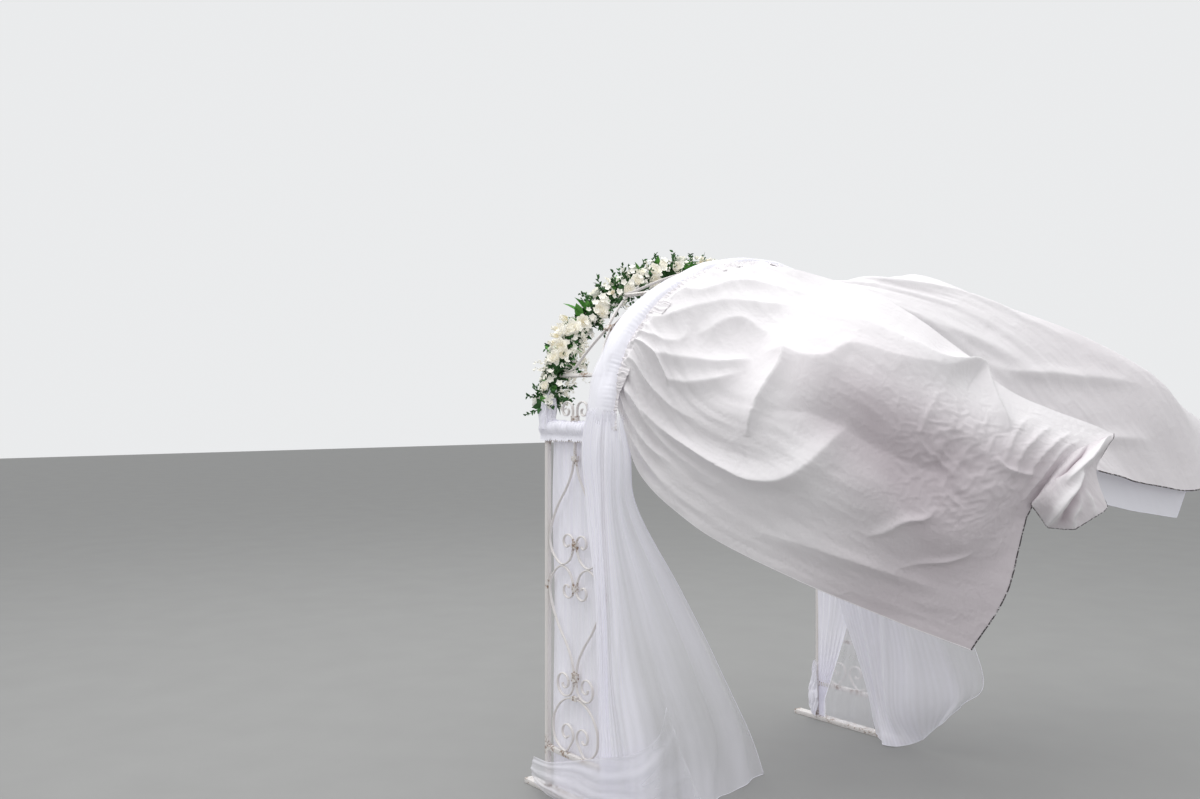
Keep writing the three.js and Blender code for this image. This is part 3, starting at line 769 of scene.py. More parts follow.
class CANOPY_OT_tubes(bpy.types.Operator):
    """Round the edges of the foot bars, posts, rails, arcs and cross bars and paint them"""

    bl_idname = "canopy.tubes"
    bl_label = "Posts, Rails and Arcs"

    panel_parts = ("foot_bar", "front_post", "rear_post", "lower_rail", "top_rail")
    long_edge = 0.2
    cut_every = 0.02

    def execute(self, context):
        settings = context.scene.canopy_iron
        names = [f"{side}_{part}" for side in PANEL_X for part in self.panel_parts]
        names += [f"arc_crossbar_{i}" for i in range(1, 6)] + ["front_arc", "rear_arc"]
        for name in names:
            bm = bmesh.new()
            bm.from_mesh(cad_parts[name].data)
            bmesh.ops.remove_doubles(bm, verts=bm.verts, dist=1e-5)
            bmesh.ops.dissolve_limit(bm, angle_limit=0.002, verts=bm.verts, edges=bm.edges)
            corners = [e for e in bm.edges if len(e.link_faces) == 2 and e.calc_face_angle(0) > 0.6]
            rounded(bm, corners, settings.edge)
            longest = max(edge.calc_length() for edge in bm.edges)
            if longest > self.long_edge:
                along = [edge for edge in bm.edges if edge.calc_length() > 0.9 * longest]
                cuts = int(longest / self.cut_every)
                bmesh.ops.subdivide_edges(bm, edges=along, cuts=cuts, use_grid_fill=True)
            painted(f"{name}_tube", bm, self.joints(name), reach=0.045, crease=50, solid=name)
        return {"FINISHED"}

    @staticmethod
    def joints(name):
        """Where others meet this tube or its ends are, so that its paint is worn."""
        low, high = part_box(name)
        middle = (low + high) / 2
        if name.endswith("_post"):
            heights = (low.z, RAIL_TOP - 0.01, HEART_LOBE - 0.09, SPRING - 0.01)
            return [(middle.x, middle.y, z) for z in heights]
        if name.endswith("lower_rail"):
            return [(middle.x, y, high.z) for y in (low.y, -SCROLL_FOOT, SCROLL_FOOT, high.y)]
        if name.endswith("foot_bar"):
            places = (low.y, -0.14, -0.09, 0.02, 0.11, 0.15, HALF_DEPTH, high.y)
            return [(middle.x, y, high.z) for y in places]
        if name.endswith("_arc"):
            return [tuple(arch_point(a, middle.y)) for a in (*CROSSBARS, 1, 179)]
        ends = [(low.x, low.y, low.z), (high.x, high.y, low.z)]
        return ends + [(middle.x, middle.y, low.z), (middle.x, middle.y, high.z)]


class CANOPY_OT_panel_scrolls(bpy.types.Operator):
    """Bend the scrolls of both side panels from flat bar"""

    bl_idname = "canopy.panel_scrolls"
    bl_label = "Panel Scrolls"

    def execute(self, context):
        bar = context.scene.canopy_iron.bar
        for side in PANEL_X:
            for part, (half, clasps, stems) in PANEL_SCROLLS.items():
                bm = scroll_bars(half(), clasps, stems, count=110, bar=bar)
                bmesh.ops.transform(bm, matrix=in_panel(side), verts=bm.verts)
                spots = [(PANEL_X[side], 0, (low + high) / 2) for _, low, high in clasps]
                painted(f"{side}_{part}_bars", bm, spots, reach=0.04, crease=55, solid=f"{side}_{part}")
        return {"FINISHED"}


class CANOPY_OT_arc_scrolls(bpy.types.Operator):
    """Bend the C scrolls between the two arcs, bay by bay"""

    bl_idname = "canopy.arc_scrolls"
    bl_label = "Arc Scrolls"

    half_clasp = 0.010
    crossbar_room = 0.9

    def execute(self, context):
        bar = context.scene.canopy_iron.bar
        for i, (start, end) in enumerate(zip(CROSSBARS, CROSSBARS[1:]), 1):
            start, end = start + self.crossbar_room, end - self.crossbar_room
            run = arch_run(start, end)
            clasp = (0.022, run / 2 - self.half_clasp, run / 2 + self.half_clasp)
            bm = scroll_bars(bay_half(run), [clasp], stems=[], count=150, bar=bar)
            for vert in bm.verts:
                across, along, lift = vert.co
                place = arch_point(start + (end - start) * along / run, 0.0, lift)
                vert.co = (place[0], across, place[2])
            middle = tuple(arch_point((start + end) / 2))
            name = f"arc_scrolls_{i}"
            painted(f"{name}_bars", bm, [middle], reach=0.05, crease=55, solid=name)
        return {"FINISHED"}


class CANOPY_OT_welds(bpy.types.Operator):
    """Put weld beads where the bars of the frame meet"""

    bl_idname = "canopy.welds"
    bl_label = "Welds"

    post_edge = 0.0095

    def execute(self, context):
        for side, x in PANEL_X.items():
            self.beads(f"{side}_welds", self.panel_spots(x), 0)
        spots = []
        for angle in CROSSBARS:
            for y in (-POST_INNER * 0.99, POST_INNER * 0.99):
                spots += [tuple(arch_point(angle + turn, y, -0.004)) for turn in (-0.45, 0.45)]
        self.beads("arc_welds", spots, 100)
        return {"FINISHED"}

    def panel_spots(self, x):
        rails = (RAIL_TOP - 0.001, RAIL_TOP - TUBE + 0.001, SPRING - 0.001, SPRING - TUBE + 0.001)
        lobes = (HEART_LOBE - 0.092, 2 * HEART_MIRROR - HEART_LOBE + 0.092)
        both = (-1, 1)
        spots = []
        for y in (-POST_INNER, POST_INNER):
            spots += [(x + dx, y * 0.994, z) for z in rails for dx in (-0.0085, 0.0085)]
            spots += [(x, y * 0.988, z) for z in lobes]
        spots += [(x, s * SCROLL_FOOT, rail + 0.003) for rail in (RAIL_TOP, SPRING) for s in both]
        spots.append((x, 0, SPRING - TUBE - 0.002))
        for y in (-HALF_DEPTH, HALF_DEPTH):
            spots += [(x + i * self.post_edge, y + j * self.post_edge, 0.0215) for i in both for j in both]
        return spots

    @staticmethod
    def beads(name, spots, seed):
        bm = bmesh.new()
        for i, spot in enumerate(spots, seed):
            weld(bm, spot, BEAD, i)
        painted(name, bm, spots, reach=0.02)


# The cloths' control points, in millimetres about the arch's middle, as the solids have them
def from_header(degrees, lift=6.0):
    """The first two points of a row that starts at the header, at so many degrees up the arch."""
    start = (arch_point(degrees, 0.2173, lift * 0.001) - np.array([MIDDLE, 0, 0])) * 1000
    return [tuple(start), (start[0], start[1] + 30, start[2] - 4)]


# Where each row leaves the header, in degrees up the arch, and its points from there to the hem
RIGHT_SHEET_ROWS = {
    14: [
        (775, 240, 1485), (712, 264, 1310), (545, 415, 1105), (300, 650, 930), (40, 870, 785),
        (-225, 1085, 655),
    ],
    26: [(635, 345, 1465), (455, 562, 1278), (213, 792, 1100), (-55, 985, 955), (-340, 1155, 858)],
    39: [(560, 435, 1600), (365, 710, 1450), (145, 945, 1270), (-135, 1100, 1115), (-465, 1175, 1155)],
    65: [(265, 460, 1875), (175, 785, 1750), (25, 990, 1600), (-245, 1125, 1450), (-640, 1235, 1375)],
    88: [(-185, 435, 2110), (-320, 640, 2005), (-425, 830, 1855), (-560, 995, 1660), (-945, 1265, 1460)],
}

LEFT_SHEET_ROWS = {
    92: [(-330, 395, 2035), (-570, 605, 1880), (-775, 815, 1665), (-920, 980, 1475), (-1060, 1140, 1300)],
    117: [(-515, 385, 2125), (-805, 645, 2040), (-1035, 890, 1840), (-1200, 1075, 1555), (-1345, 1220, 1235)],
    141: [
        (-735, 405, 2140), (-1060, 680, 2015), (-1350, 950, 1862), (-1535, 1150, 1670), (-1635, 1300, 1205),
    ],
    166: [
        (-935, 345, 1790), (-1205, 590, 1785), (-1460, 845, 1720), (-1765, 1145, 1580), (-1950, 1350, 1335),
    ],
}

# The right sheet's lower edge is loose, so its first row has one header point
LOOSE_ROW = 14


def sheet_surface(rows):
    starts = {angle: from_header(angle)[: 1 if angle == LOOSE_ROW else 2] for angle in rows}
    return surface_of([starts[angle] + points for angle, points in rows.items()])


RIGHT_CURTAIN_ROWS = [
    [(850, 104, 1572), (856, 165, 1578), (849, 220, 1574), (824, 246, 1570), (790, 250, 1562)],
    [(862, 86, 1420), (866, 150, 1420), (858, 230, 1420), (804, 250, 1400), (736, 234, 1390)],
    [(848, 98, 1200), (854, 170, 1200), (850, 224, 1200), (786, 238, 1205), (700, 214, 1211)],
    [(848, 160, 840), (854, 196, 840), (838, 232, 840), (660, 254, 835), (452, 206, 835)],
    [(848, 178, 500), (854, 214, 500), (830, 248, 500), (540, 280, 520), (256, 210, 525)],
    [(850, 190, 215), (862, 236, 215), (800, 286, 215), (420, 300, 215), (70, 216, 213)],
    [(850, 200, 24), (864, 246, 24), (790, 312, 24), (400, 322, 3), (-8, 228, 3)],
]

LEFT_CURTAIN_ROWS = [
    [(-806, 206, 1499), (-818, 206, 1499), (-830, 206, 1499), (-842, 206, 1499), (-854, 206, 1499)],
    [(-788, 120, 1330), (-792, 206, 1330), (-830, 238, 1330), (-852, 256, 1330), (-872, 276, 1330)],
    [(-786, 20, 960), (-786, 140, 960), (-800, 240, 960), (-850, 330, 960), (-890, 400, 960)],
    [(-786, -12, 640), (-786, 120, 640), (-798, 262, 640), (-850, 400, 640), (-900, 540, 660)],
    [(-786, 70, 420), (-780, 180, 400), (-785, 310, 400), (-840, 490, 420), (-895, 670, 470)],
    [(-786, 170, 160), (-765, 250, 130), (-770, 350, 150), (-820, 560, 232), (-875, 710, 325)],
    [(-788, 205, 24), (-730, 315, 6), (-805, 415, 30), (-820, 510, 115), (-850, 615, 220)],
]

SWAG_ROWS = [
    [
        (849, -256, 21), (893, -120, 22), (899, 60, 22), (884, 240, 22), (800, 352, 22), (640, 380, 6),
        (470, 352, 6),
    ],
    [
        (864, -262, 75), (902, -110, 80), (908, 70, 105), (896, 245, 125), (806, 358, 140), (690, 380, 165),
        (560, 345, 205),
    ],
    [
        (860, -246, 130), (886, -100, 150), (890, 70, 200), (885, 230, 250), (805, 330, 275),
        (710, 355, 320), (635, 325, 420),
    ],
]

TIE_ROWS = [
    [(-801, -176, 21), (-806, -205, 21), (-832, -210, 21), (-846, -198, 21)],
    [(-799, -166, 70), (-800, -216, 70), (-832, -226, 70), (-852, -202, 70)],
    [(-797, -160, 130), (-797, -218, 130), (-832, -229, 130), (-854, -202, 130)],
    [(-799, -164, 190), (-802, -208, 190), (-831, -214, 190), (-847, -200, 190)],
    [(-803, -172, 290), (-811, -199, 290), (-830, -202, 290), (-843, -198, 290)],
]


def hanging(rows):
    """Rows given downwards, so the surface runs down in v and across in u."""
    surface = surface_of(rows)
    return lambda u, v: surface(v, u)


# Shapes of folds, over u and v from 0 to 1
def bell(x, width):
    """1 at 0, and next to nothing two widths away."""
    return np.exp(-((x / width) ** 2))


def fade(x, reach):
    """1 at 0, and less with distance."""
    return np.exp(-x / reach)


def rise(x, over):
    """From 0 to 1 while x grows from 0 to its reach."""
    return np.clip(x / over, 0, 1)


def pinched(phase):
    """A wave with narrow crests and wide hollows, as gathered cloth has."""
    return 2 * np.abs(np.cos(phase / 2)) ** 1.6 - 1


def gathers(u, count, shift=0.0):
    return pinched(TURN * count * u + shift)


def pleats(u, v, count, reach, seed):
    """Gathers that start at the header, many and short, and run together further down."""
    warped = u + 0.016 * cloud(u, v * 0.4, (9, 4), seed)
    wander = 0.45 + 0.75 * np.abs(cloud(u, 0 * v, (count // 2, 1), seed + 1))
    fine = gathers(warped, 2.3 * count) * fade(v, reach * 0.12 * wander)
    mid = gathers(warped, count, 1.3) * fade(v, reach * 0.35 * wander)
    wide = gathers(warped, count * 0.47, 0.4) * fade(v, reach * 1.1 * wander)
    return 0.35 * fine + 0.7 * mid + 0.9 * wide * rise(v, 0.05)


def streaks(u, v, seed):
    """Fine creases drawn out along the cloth's pull, from header to hem."""
    bent = u + 0.05 * cloud(u, v, (4, 5), seed)
    long = 0.5 - np.abs(cloud(bent, v, (40, 9), seed + 1))
    short = 0.5 - np.abs(cloud(bent + 0.1 * v, v, (75, 22), seed + 2))
    return long + 0.6 * short


def soft_crumples(u, v, seed):
    """Broad billows and smaller crumples over a sheet, from -1 to 1."""
    broad = cloud(u + 0.3 * v, v, (7, 9), seed) + 0.5 * cloud(u, v - 0.2 * u, (14, 18), seed + 1)
    sharp = np.abs(cloud(u + 0.15 * v, v, (28, 27), seed + 2))
    return broad + 0.35 * (0.35 - sharp)


# Ridges of the sheets' folds, as (u, v, height, width) along each line, with heights and widths in metres
RIGHT_SIZE = (1.30, 1.80)
# The middle of the right sheet's crumples
CRUMPLED = (0.68, 0.80)
RIGHT_FOLDS = {
    "swag": [
        (0.15, 0.02, 0, 0.02), (0.137, 0.12, 0.014, 0.022), (0.14, 0.22, 0.024, 0.026),
        (0.20, 0.28, 0.028, 0.030), (0.25, 0.33, 0.034, 0.032), (0.275, 0.375, 0.042, 0.036),
        (0.28, 0.425, 0.052, 0.042), (0.287, 0.485, 0.060, 0.050), (0.315, 0.51, 0.062, 0.055),
        (0.36, 0.53, 0.060, 0.055), (0.445, 0.545, 0.050, 0.050), (0.55, 0.557, 0.028, 0.040),
        (0.62, 0.578, 0, 0.03),
    ],
    "seam": [
        (0.445, 0.438, 0, 0.010), (0.475, 0.433, 0.016, 0.014), (0.535, 0.42, 0.036, 0.022),
        (0.60, 0.415, 0.046, 0.026), (0.645, 0.415, 0.044, 0.028), (0.70, 0.41, 0.036, 0.030),
        (0.735, 0.39, 0.026, 0.030), (0.75, 0.355, 0, 0.030),
    ],
    "crest": [
        (0.50, 0.14, 0, 0.02), (0.535, 0.185, 0.014, 0.02), (0.665, 0.23, 0.020, 0.03),
        (0.77, 0.27, 0.024, 0.04), (0.845, 0.34, 0.030, 0.05), (0.855, 0.475, 0.042, 0.06),
        (0.868, 0.595, 0.050, 0.055), (0.89, 0.695, 0.056, 0.045), (0.965, 0.765, 0.070, 0.032),
        (0.93, 0.805, 0.050, 0.03), (0.88, 0.84, 0.034, 0.028), (0.845, 0.86, 0.020, 0.026),
        (0.81, 0.875, 0, 0.02),
    ],
    "lobe": [
        (0.32, 0.06, 0, 0.015), (0.36, 0.18, 0.018, 0.02), (0.395, 0.22, 0.024, 0.024),
        (0.475, 0.245, 0.030, 0.03), (0.55, 0.28, 0.034, 0.032), (0.595, 0.31, 0.034, 0.03),
        (0.635, 0.34, 0.030, 0.028), (0.67, 0.36, 0, 0.02),
    ],
    "lobe_rim": [
        (0.41, 0.27, 0.012, 0.02), (0.49, 0.295, 0.026, 0.026), (0.545, 0.32, 0.028, 0.03),
        (0.58, 0.34, 0.022, 0.028), (0.63, 0.365, 0, 0.02),
    ],
    "lower_1": [
        (0.045, 0.03, 0, 0.015), (0.05, 0.12, 0.016, 0.02), (0.075, 0.225, 0.022, 0.022),
        (0.11, 0.29, 0.024, 0.024), (0.135, 0.33, 0.022, 0.026), (0.15, 0.36, 0.016, 0.028),
        (0.145, 0.43, 0, 0.03),
    ],
    "lower_2": [
        (0.02, 0.03, 0, 0.015), (0.012, 0.135, 0.012, 0.018), (0.03, 0.225, 0.018, 0.02),
        (0.065, 0.33, 0.018, 0.022), (0.055, 0.40, 0, 0.025),
    ],
    "lower_3": [
        (0.10, 0.04, 0, 0.015), (0.125, 0.16, 0.014, 0.018), (0.155, 0.255, 0.018, 0.02),
        (0.195, 0.325, 0.016, 0.022), (0.205, 0.40, 0.012, 0.026), (0.2, 0.48, 0, 0.03),
    ],
    "knot_1": [
        (0.20, 0.03, 0, 0.015), (0.23, 0.13, 0.016, 0.018), (0.26, 0.225, 0.024, 0.02),
        (0.29, 0.255, 0.024, 0.02), (0.335, 0.285, 0.018, 0.022), (0.41, 0.35, 0, 0.02),
    ],
    "knot_2": [
        (0.30, 0.05, 0, 0.015), (0.345, 0.165, 0.020, 0.018), (0.375, 0.205, 0.028, 0.020),
        (0.405, 0.235, 0.034, 0.022), (0.415, 0.262, 0.026, 0.018), (0.405, 0.28, 0, 0.012),
    ],
    "knot_3": [
        (0.36, 0.05, 0, 0.015), (0.415, 0.17, 0.020, 0.02), (0.49, 0.22, 0.024, 0.024),
        (0.545, 0.245, 0.018, 0.024), (0.60, 0.25, 0, 0.02),
    ],
    "brow": [
        (0.60, 0.26, 0, 0.02), (0.65, 0.27, 0.016, 0.025), (0.705, 0.28, 0.024, 0.03),
        (0.74, 0.30, 0.026, 0.03), (0.75, 0.35, 0.016, 0.03), (0.76, 0.39, 0, 0.03),
    ],
    "crown": [
        (0.62, 0.10, 0, 0.02), (0.68, 0.20, 0.012, 0.025), (0.84, 0.235, 0.014, 0.03),
        (0.90, 0.30, 0.010, 0.03), (0.92, 0.40, 0, 0.03),
    ],
    "low_crease": [
        (0.295, 0.71, 0, 0.015), (0.35, 0.722, 0.016, 0.018), (0.445, 0.735, 0.024, 0.018),
        (0.49, 0.76, 0.018, 0.016), (0.54, 0.775, 0, 0.015),
    ],
    "low_curve": [
        (0.21, 0.79, 0, 0.02), (0.29, 0.82, 0.012, 0.02), (0.345, 0.86, 0.014, 0.02), (0.41, 0.9, 0, 0.02),
    ],
    "low_band": [
        (0.10, 0.55, 0, 0.04), (0.16, 0.66, 0.020, 0.05), (0.19, 0.76, 0.022, 0.05), (0.20, 0.88, 0, 0.04),
    ],
    "neck": [(0.66, 0.95, 0.010, 0.012), (0.68, 0.89, 0.016, 0.016), (0.715, 0.86, 0, 0.02)],
    "brow_edge": [
        (0.70, 0.36, 0, 0.03), (0.71, 0.39, 0.012, 0.03), (0.735, 0.475, 0.022, 0.04),
        (0.785, 0.5, 0.026, 0.045), (0.815, 0.59, 0.028, 0.05), (0.845, 0.655, 0.026, 0.05),
        (0.88, 0.705, 0.020, 0.045), (0.945, 0.745, 0.010, 0.03),
    ],
    "brow_shade": [
        (0.56, 0.44, 0, 0.05), (0.59, 0.50, -0.034, 0.08), (0.60, 0.56, -0.056, 0.11),
        (0.60, 0.64, -0.064, 0.13), (0.61, 0.72, -0.058, 0.13), (0.65, 0.80, -0.036, 0.10),
        (0.68, 0.86, 0, 0.06),
    ],
    "fan_1": [
        (0.575, 0.965, 0.006, 0.010), (0.645, 0.975, 0.013, 0.012), (0.75, 0.98, 0.014, 0.012),
        (0.88, 0.985, 0, 0.012),
    ],
    "fan_2": [
        (0.60, 0.945, 0, 0.010), (0.685, 0.945, 0.014, 0.012), (0.78, 0.955, 0.015, 0.014),
        (0.91, 0.96, 0, 0.016),
    ],
    "fan_3": [
        (0.64, 0.915, 0, 0.010), (0.715, 0.91, 0.012, 0.014), (0.805, 0.92, 0.014, 0.016),
        (0.92, 0.93, 0, 0.018),
    ],
    "fan_4": [
        (0.68, 0.885, 0, 0.010), (0.745, 0.885, 0.010, 0.014), (0.82, 0.885, 0.012, 0.018),
        (0.93, 0.895, 0, 0.02),
    ],
}


def right_sheet_shape(settings):
    def shape(u, v):
        strength = 1.0 - 0.45 * rise(u - 0.5, 0.15)
        folds = 0.7 * settings.fold * strength * pleats(u, v, 32, 0.26, 11)
        folds = folds + 0.0020 * streaks(u, v, 17) * np.clip(1.2 - v, 0.3, 1)
        flatter = 0.62 + 0.38 * rise(v - 0.18, 0.2)
        for line in RIGHT_FOLDS.values():
            folds = folds + flatter * ridge(u, v, RIGHT_SIZE, line, 1.35)
        rumpled = bell(u - CRUMPLED[0], 0.16) * bell(v - CRUMPLED[1], 0.11)
        creases = 0.5 - np.abs(cloud(u + 0.4 * v, v, (34, 26), 31))
        creases = creases - 0.5 * np.abs(cloud(u - 0.5 * v, v, (58, 44), 32))
        folds = folds + settings.crumple * (soft_crumples(u, v, 21) + 1.9 * rumpled * creases)
        twisted = rise(u - 0.5, 0.05) * rise(v - 0.98, 0.02)
        return folds * rise(v, 0.01) * (1 - twisted)

    return shape


# The twisted end of the right sheet: its rows after the first one, which is the sheet's own hem
FLAP_ROWS = [
    [(-460, 1190, 1200), (-495, 1245, 1265), (-565, 1285, 1330), (-720, 1295, 1380), (-910, 1280, 1445)],
    [(-500, 1195, 1160), (-500, 1275, 1200), (-580, 1310, 1255), (-695, 1300, 1315), (-840, 1270, 1375)],
    [(-565, 1200, 1105), (-575, 1290, 1105), (-660, 1335, 1150), (-745, 1340, 1190), (-725, 1270, 1285)],
]
FLAP_START = (0.55, 0.66, 0.77, 0.88, 1.0)
FLAP_SIZE = (0.34, 0.53)
FLAP_FOLDS = [
    [
        (0.10, 0.98, 0.006, 0.02), (0.17, 0.91, 0.018, 0.024), (0.30, 0.78, 0.022, 0.026),
        (0.38, 0.63, 0.022, 0.026), (0.43, 0.51, 0.016, 0.022), (0.46, 0.42, 0, 0.02),
    ],
    [
        (0.0, 0.73, 0, 0.010), (0.10, 0.67, -0.014, 0.012), (0.19, 0.62, -0.024, 0.014),
        (0.28, 0.48, -0.028, 0.014), (0.24, 0.38, -0.020, 0.014), (0.20, 0.28, 0, 0.014),
    ],
    [
        (0.50, 0.63, 0, 0.015), (0.52, 0.60, 0.014, 0.018), (0.62, 0.51, 0.026, 0.022),
        (0.67, 0.35, 0.030, 0.024), (0.76, 0.19, 0.026, 0.020), (0.91, 0.03, 0.010, 0.015),
    ],
    [
        (0.58, 0.64, 0, 0.015), (0.68, 0.54, -0.018, 0.020), (0.76, 0.38, -0.026, 0.024),
        (0.86, 0.22, -0.022, 0.022), (0.97, 0.08, 0, 0.015),
    ],
    [
        (0.66, 0.56, 0, 0.010), (0.80, 0.45, 0.014, 0.012), (0.88, 0.33, 0.016, 0.012),
        (0.98, 0.28, 0.010, 0.012),
    ],
    [(0.72, 0.60, 0, 0.010), (0.87, 0.56, 0.012, 0.012), (0.97, 0.51, 0.009, 0.012)],
]


def flap_surface(sheet):
    start = np.array(FLAP_START)
    hem = (sheet(start, np.ones(5)) - np.array([MIDDLE, 0, 0])) * 1000
    return surface_of([hem, *FLAP_ROWS])


def flap_folds(q, p):
    """Folded planes and deep creases that meet at the neck; the surface's own normals face inwards here."""
    raised = 0.0015 * streaks(p, q, 57) + 0.002 * cloud(q, p, (9, 14), 58)
    for line in FLAP_FOLDS:
        raised = raised + ridge(q, p, FLAP_SIZE, line, 1.3)
    return -raised * rise(q, 0.04)


LEFT_SIZE = (0.95, 1.85)
LEFT_FOLDS = [
    [
        (0.0, 0.2, 0.0, 0.05), (0.10, 0.39, 0.018, 0.05), (0.10, 0.50, 0.022, 0.05),
        (0.16, 0.62, 0.018, 0.05), (0.2, 0.75, 0.0, 0.04),
    ],
    [
        (0.05, 0.60, 0.0, 0.04), (0.12, 0.68, 0.014, 0.035), (0.29, 0.74, 0.018, 0.035),
        (0.47, 0.79, 0.012, 0.035), (0.6, 0.84, 0.0, 0.03),
    ],
    [(0.30, 0.10, 0.0, 0.03), (0.34, 0.3, 0.016, 0.045), (0.42, 0.5, 0.018, 0.05), (0.5, 0.7, 0.0, 0.05)],
    [
        (0.62, 0.08, 0.0, 0.03), (0.66, 0.3, 0.020, 0.05), (0.70, 0.55, 0.022, 0.05),
        (0.76, 0.8, 0.012, 0.05), (0.8, 0.95, 0.0, 0.04),
    ],
    [(0.12, 0.82, 0.0, 0.03), (0.2, 0.88, 0.010, 0.03), (0.35, 0.90, 0.012, 0.03), (0.5, 0.92, 0.0, 0.03)],
]


def left_sheet_shape(settings):
    def shape(u, v):
        folds = settings.fold * 0.9 * pleats(u, v, 24, 0.34, 41) + 0.0014 * streaks(u, v, 47)
        for line in LEFT_FOLDS:
            folds = folds + ridge(u, v, LEFT_SIZE, line)
        return (folds + settings.crumple * 0.9 * soft_crumples(u, v, 51)) * rise(v, 0.01)

    return shape


def hollows(u, v, raised, belly):
    """Painted shade on a sheet, from 0 to 1: darker between its folds, and in the belly that hangs under its
    crest.
    """
    between = 0.2 * np.clip(0.2 - raised / 0.05, 0, 1)
    begins = 0.60 - 0.75 * np.clip(u - 0.37, 0, 0.31)
    under = rise(v - begins, 0.22) * rise(0.88 - u, 0.18)
    return np.clip(between + 0.6 * belly * under, 0, 1)


def hem_line(name, surface, shape, line, radius, material):
    """A rolled or overlocked edge, along a line of u and v on a cloth with its folds."""
    u, v = line
    points = surface(u, v) + normals_of(surface, u, v) * shape(u, v)[:, None]
    return keep(name, tube_along([tuple(p) for p in points], radius), material)


def stands_for(name):
    """Hides the solid whose place the piece takes."""
    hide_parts(name)


class CANOPY_OT_sheets(bpy.types.Operator):
    """Lay out the two large sheets with their folds, hems and sheer lining"""

    bl_idname = "canopy.sheets"
    bl_label = "Blown Sheets"

    hem = 0.0030
    flap_hem = 0.0018
    selvage = 0.0016

    def execute(self, context):
        settings = context.scene.canopy_cloth
        cloth, thread = once("crumpled_sheet_cloth", sheet_cloth), once("hem_thread", hem_thread)
        run, nought, one = np.linspace(0, 1, 160), np.zeros(160), np.ones(160)

        right, shape = sheet_surface(RIGHT_SHEET_ROWS), right_sheet_shape(settings)
        room = {"cells": (220, 250), "belly": 1.0, "give": 0.54, "grow": 0.022}
        sheet = self.blown("right_sheet_cloth", right, shape, **room)
        parts = [
            hem_line("right_sheet_hem", right, shape, (run * FLAP_START[0], one), self.hem, thread),
            hem_line("right_sheet_selvage", right, shape, (nought, run), self.selvage, cloth),
        ]
        flap = flap_surface(right)
        # Painted shade on the flap: darker in its creases, lighter on its raised planes.
        shaded = lambda q, p: {"hollow": np.clip(0.4 + flap_folds(q, p) / 0.03, 0, 1)}
        parts.append(woven("right_sheet_flap", flap, (80, 120), cloth, flap_folds, shaded))
        rim = (np.concatenate([run, one, 1 - run]), np.concatenate([nought, run, one]))
        parts.append(hem_line("right_sheet_flap_hem", flap, flap_folds, rim, self.flap_hem, thread))
        stands_for("right_sheet")

        left, shape = sheet_surface(LEFT_SHEET_ROWS), left_sheet_shape(settings)
        room = {"cells": (140, 220), "belly": 0.3, "give": 0.0, "grow": 0.010}
        sheet = self.blown("left_sheet_cloth", left, shape, **room)
        parts = [
            hem_line("left_sheet_hem", left, shape, (run, one), self.hem, thread),
            hem_line("left_sheet_selvage", left, shape, (one, run), self.selvage, cloth),
        ]
        stands_for("left_sheet")
        self.lining(left, lambda u, v: 0.6 * shape(u, v))
        return {"FINISHED"}

    @staticmethod
    def blown(name, surface, shape, cells, belly, give, grow):
        """One large sheet, buckled a little, and more where its crumples give."""
        # Painted shade, marked on each point for the sheet's material.
        shade_marks = lambda u, v: {"hollow": hollows(u, v, shape(u, v), belly)}
        piece = woven(name, surface, cells, once("crumpled_sheet_cloth", sheet_cloth), shape, shade_marks)
        spots = np.arange(len(piece.data.vertices))
        u, v = spots % (cells[0] + 1) / cells[0], spots // (cells[0] + 1) / cells[1]
        edge = np.minimum(np.minimum(u, 1 - u), np.minimum(v, 1 - v))
        loose = bell(u - CRUMPLED[0], 0.20) * bell(v - CRUMPLED[1], 0.14)
        held = 0.60 - give * loose + 0.5 * fade(v, 0.10) + 0.4 * fade(edge, 0.008)
        settle(piece, np.where(edge < 1e-4, 1.0, np.clip(held, 0, 1)), grow)
        return piece

    @staticmethod
    def lining(sheet, shape):
        """The sheer layer under the left sheet, part of which droops below the hem."""
        def under(u, v):
            place = sheet(u, v) - normals_of(sheet, u, v) * 0.026
            place[:, 2] -= 0.115 * rise(v - 0.93, 0.07) * rise(0.60 - u, 0.06)
            return place

        layer = woven("left_sheet_lining_cloth", under, (90, 150), tulle_of("lining"), shape)
        line = (np.linspace(0, 1, 140), np.ones(140))
        hem = hem_line("left_sheet_lining_hem", under, shape, line, 0.0018, tulle_of("header"))
        stands_for("left_sheet_lining")


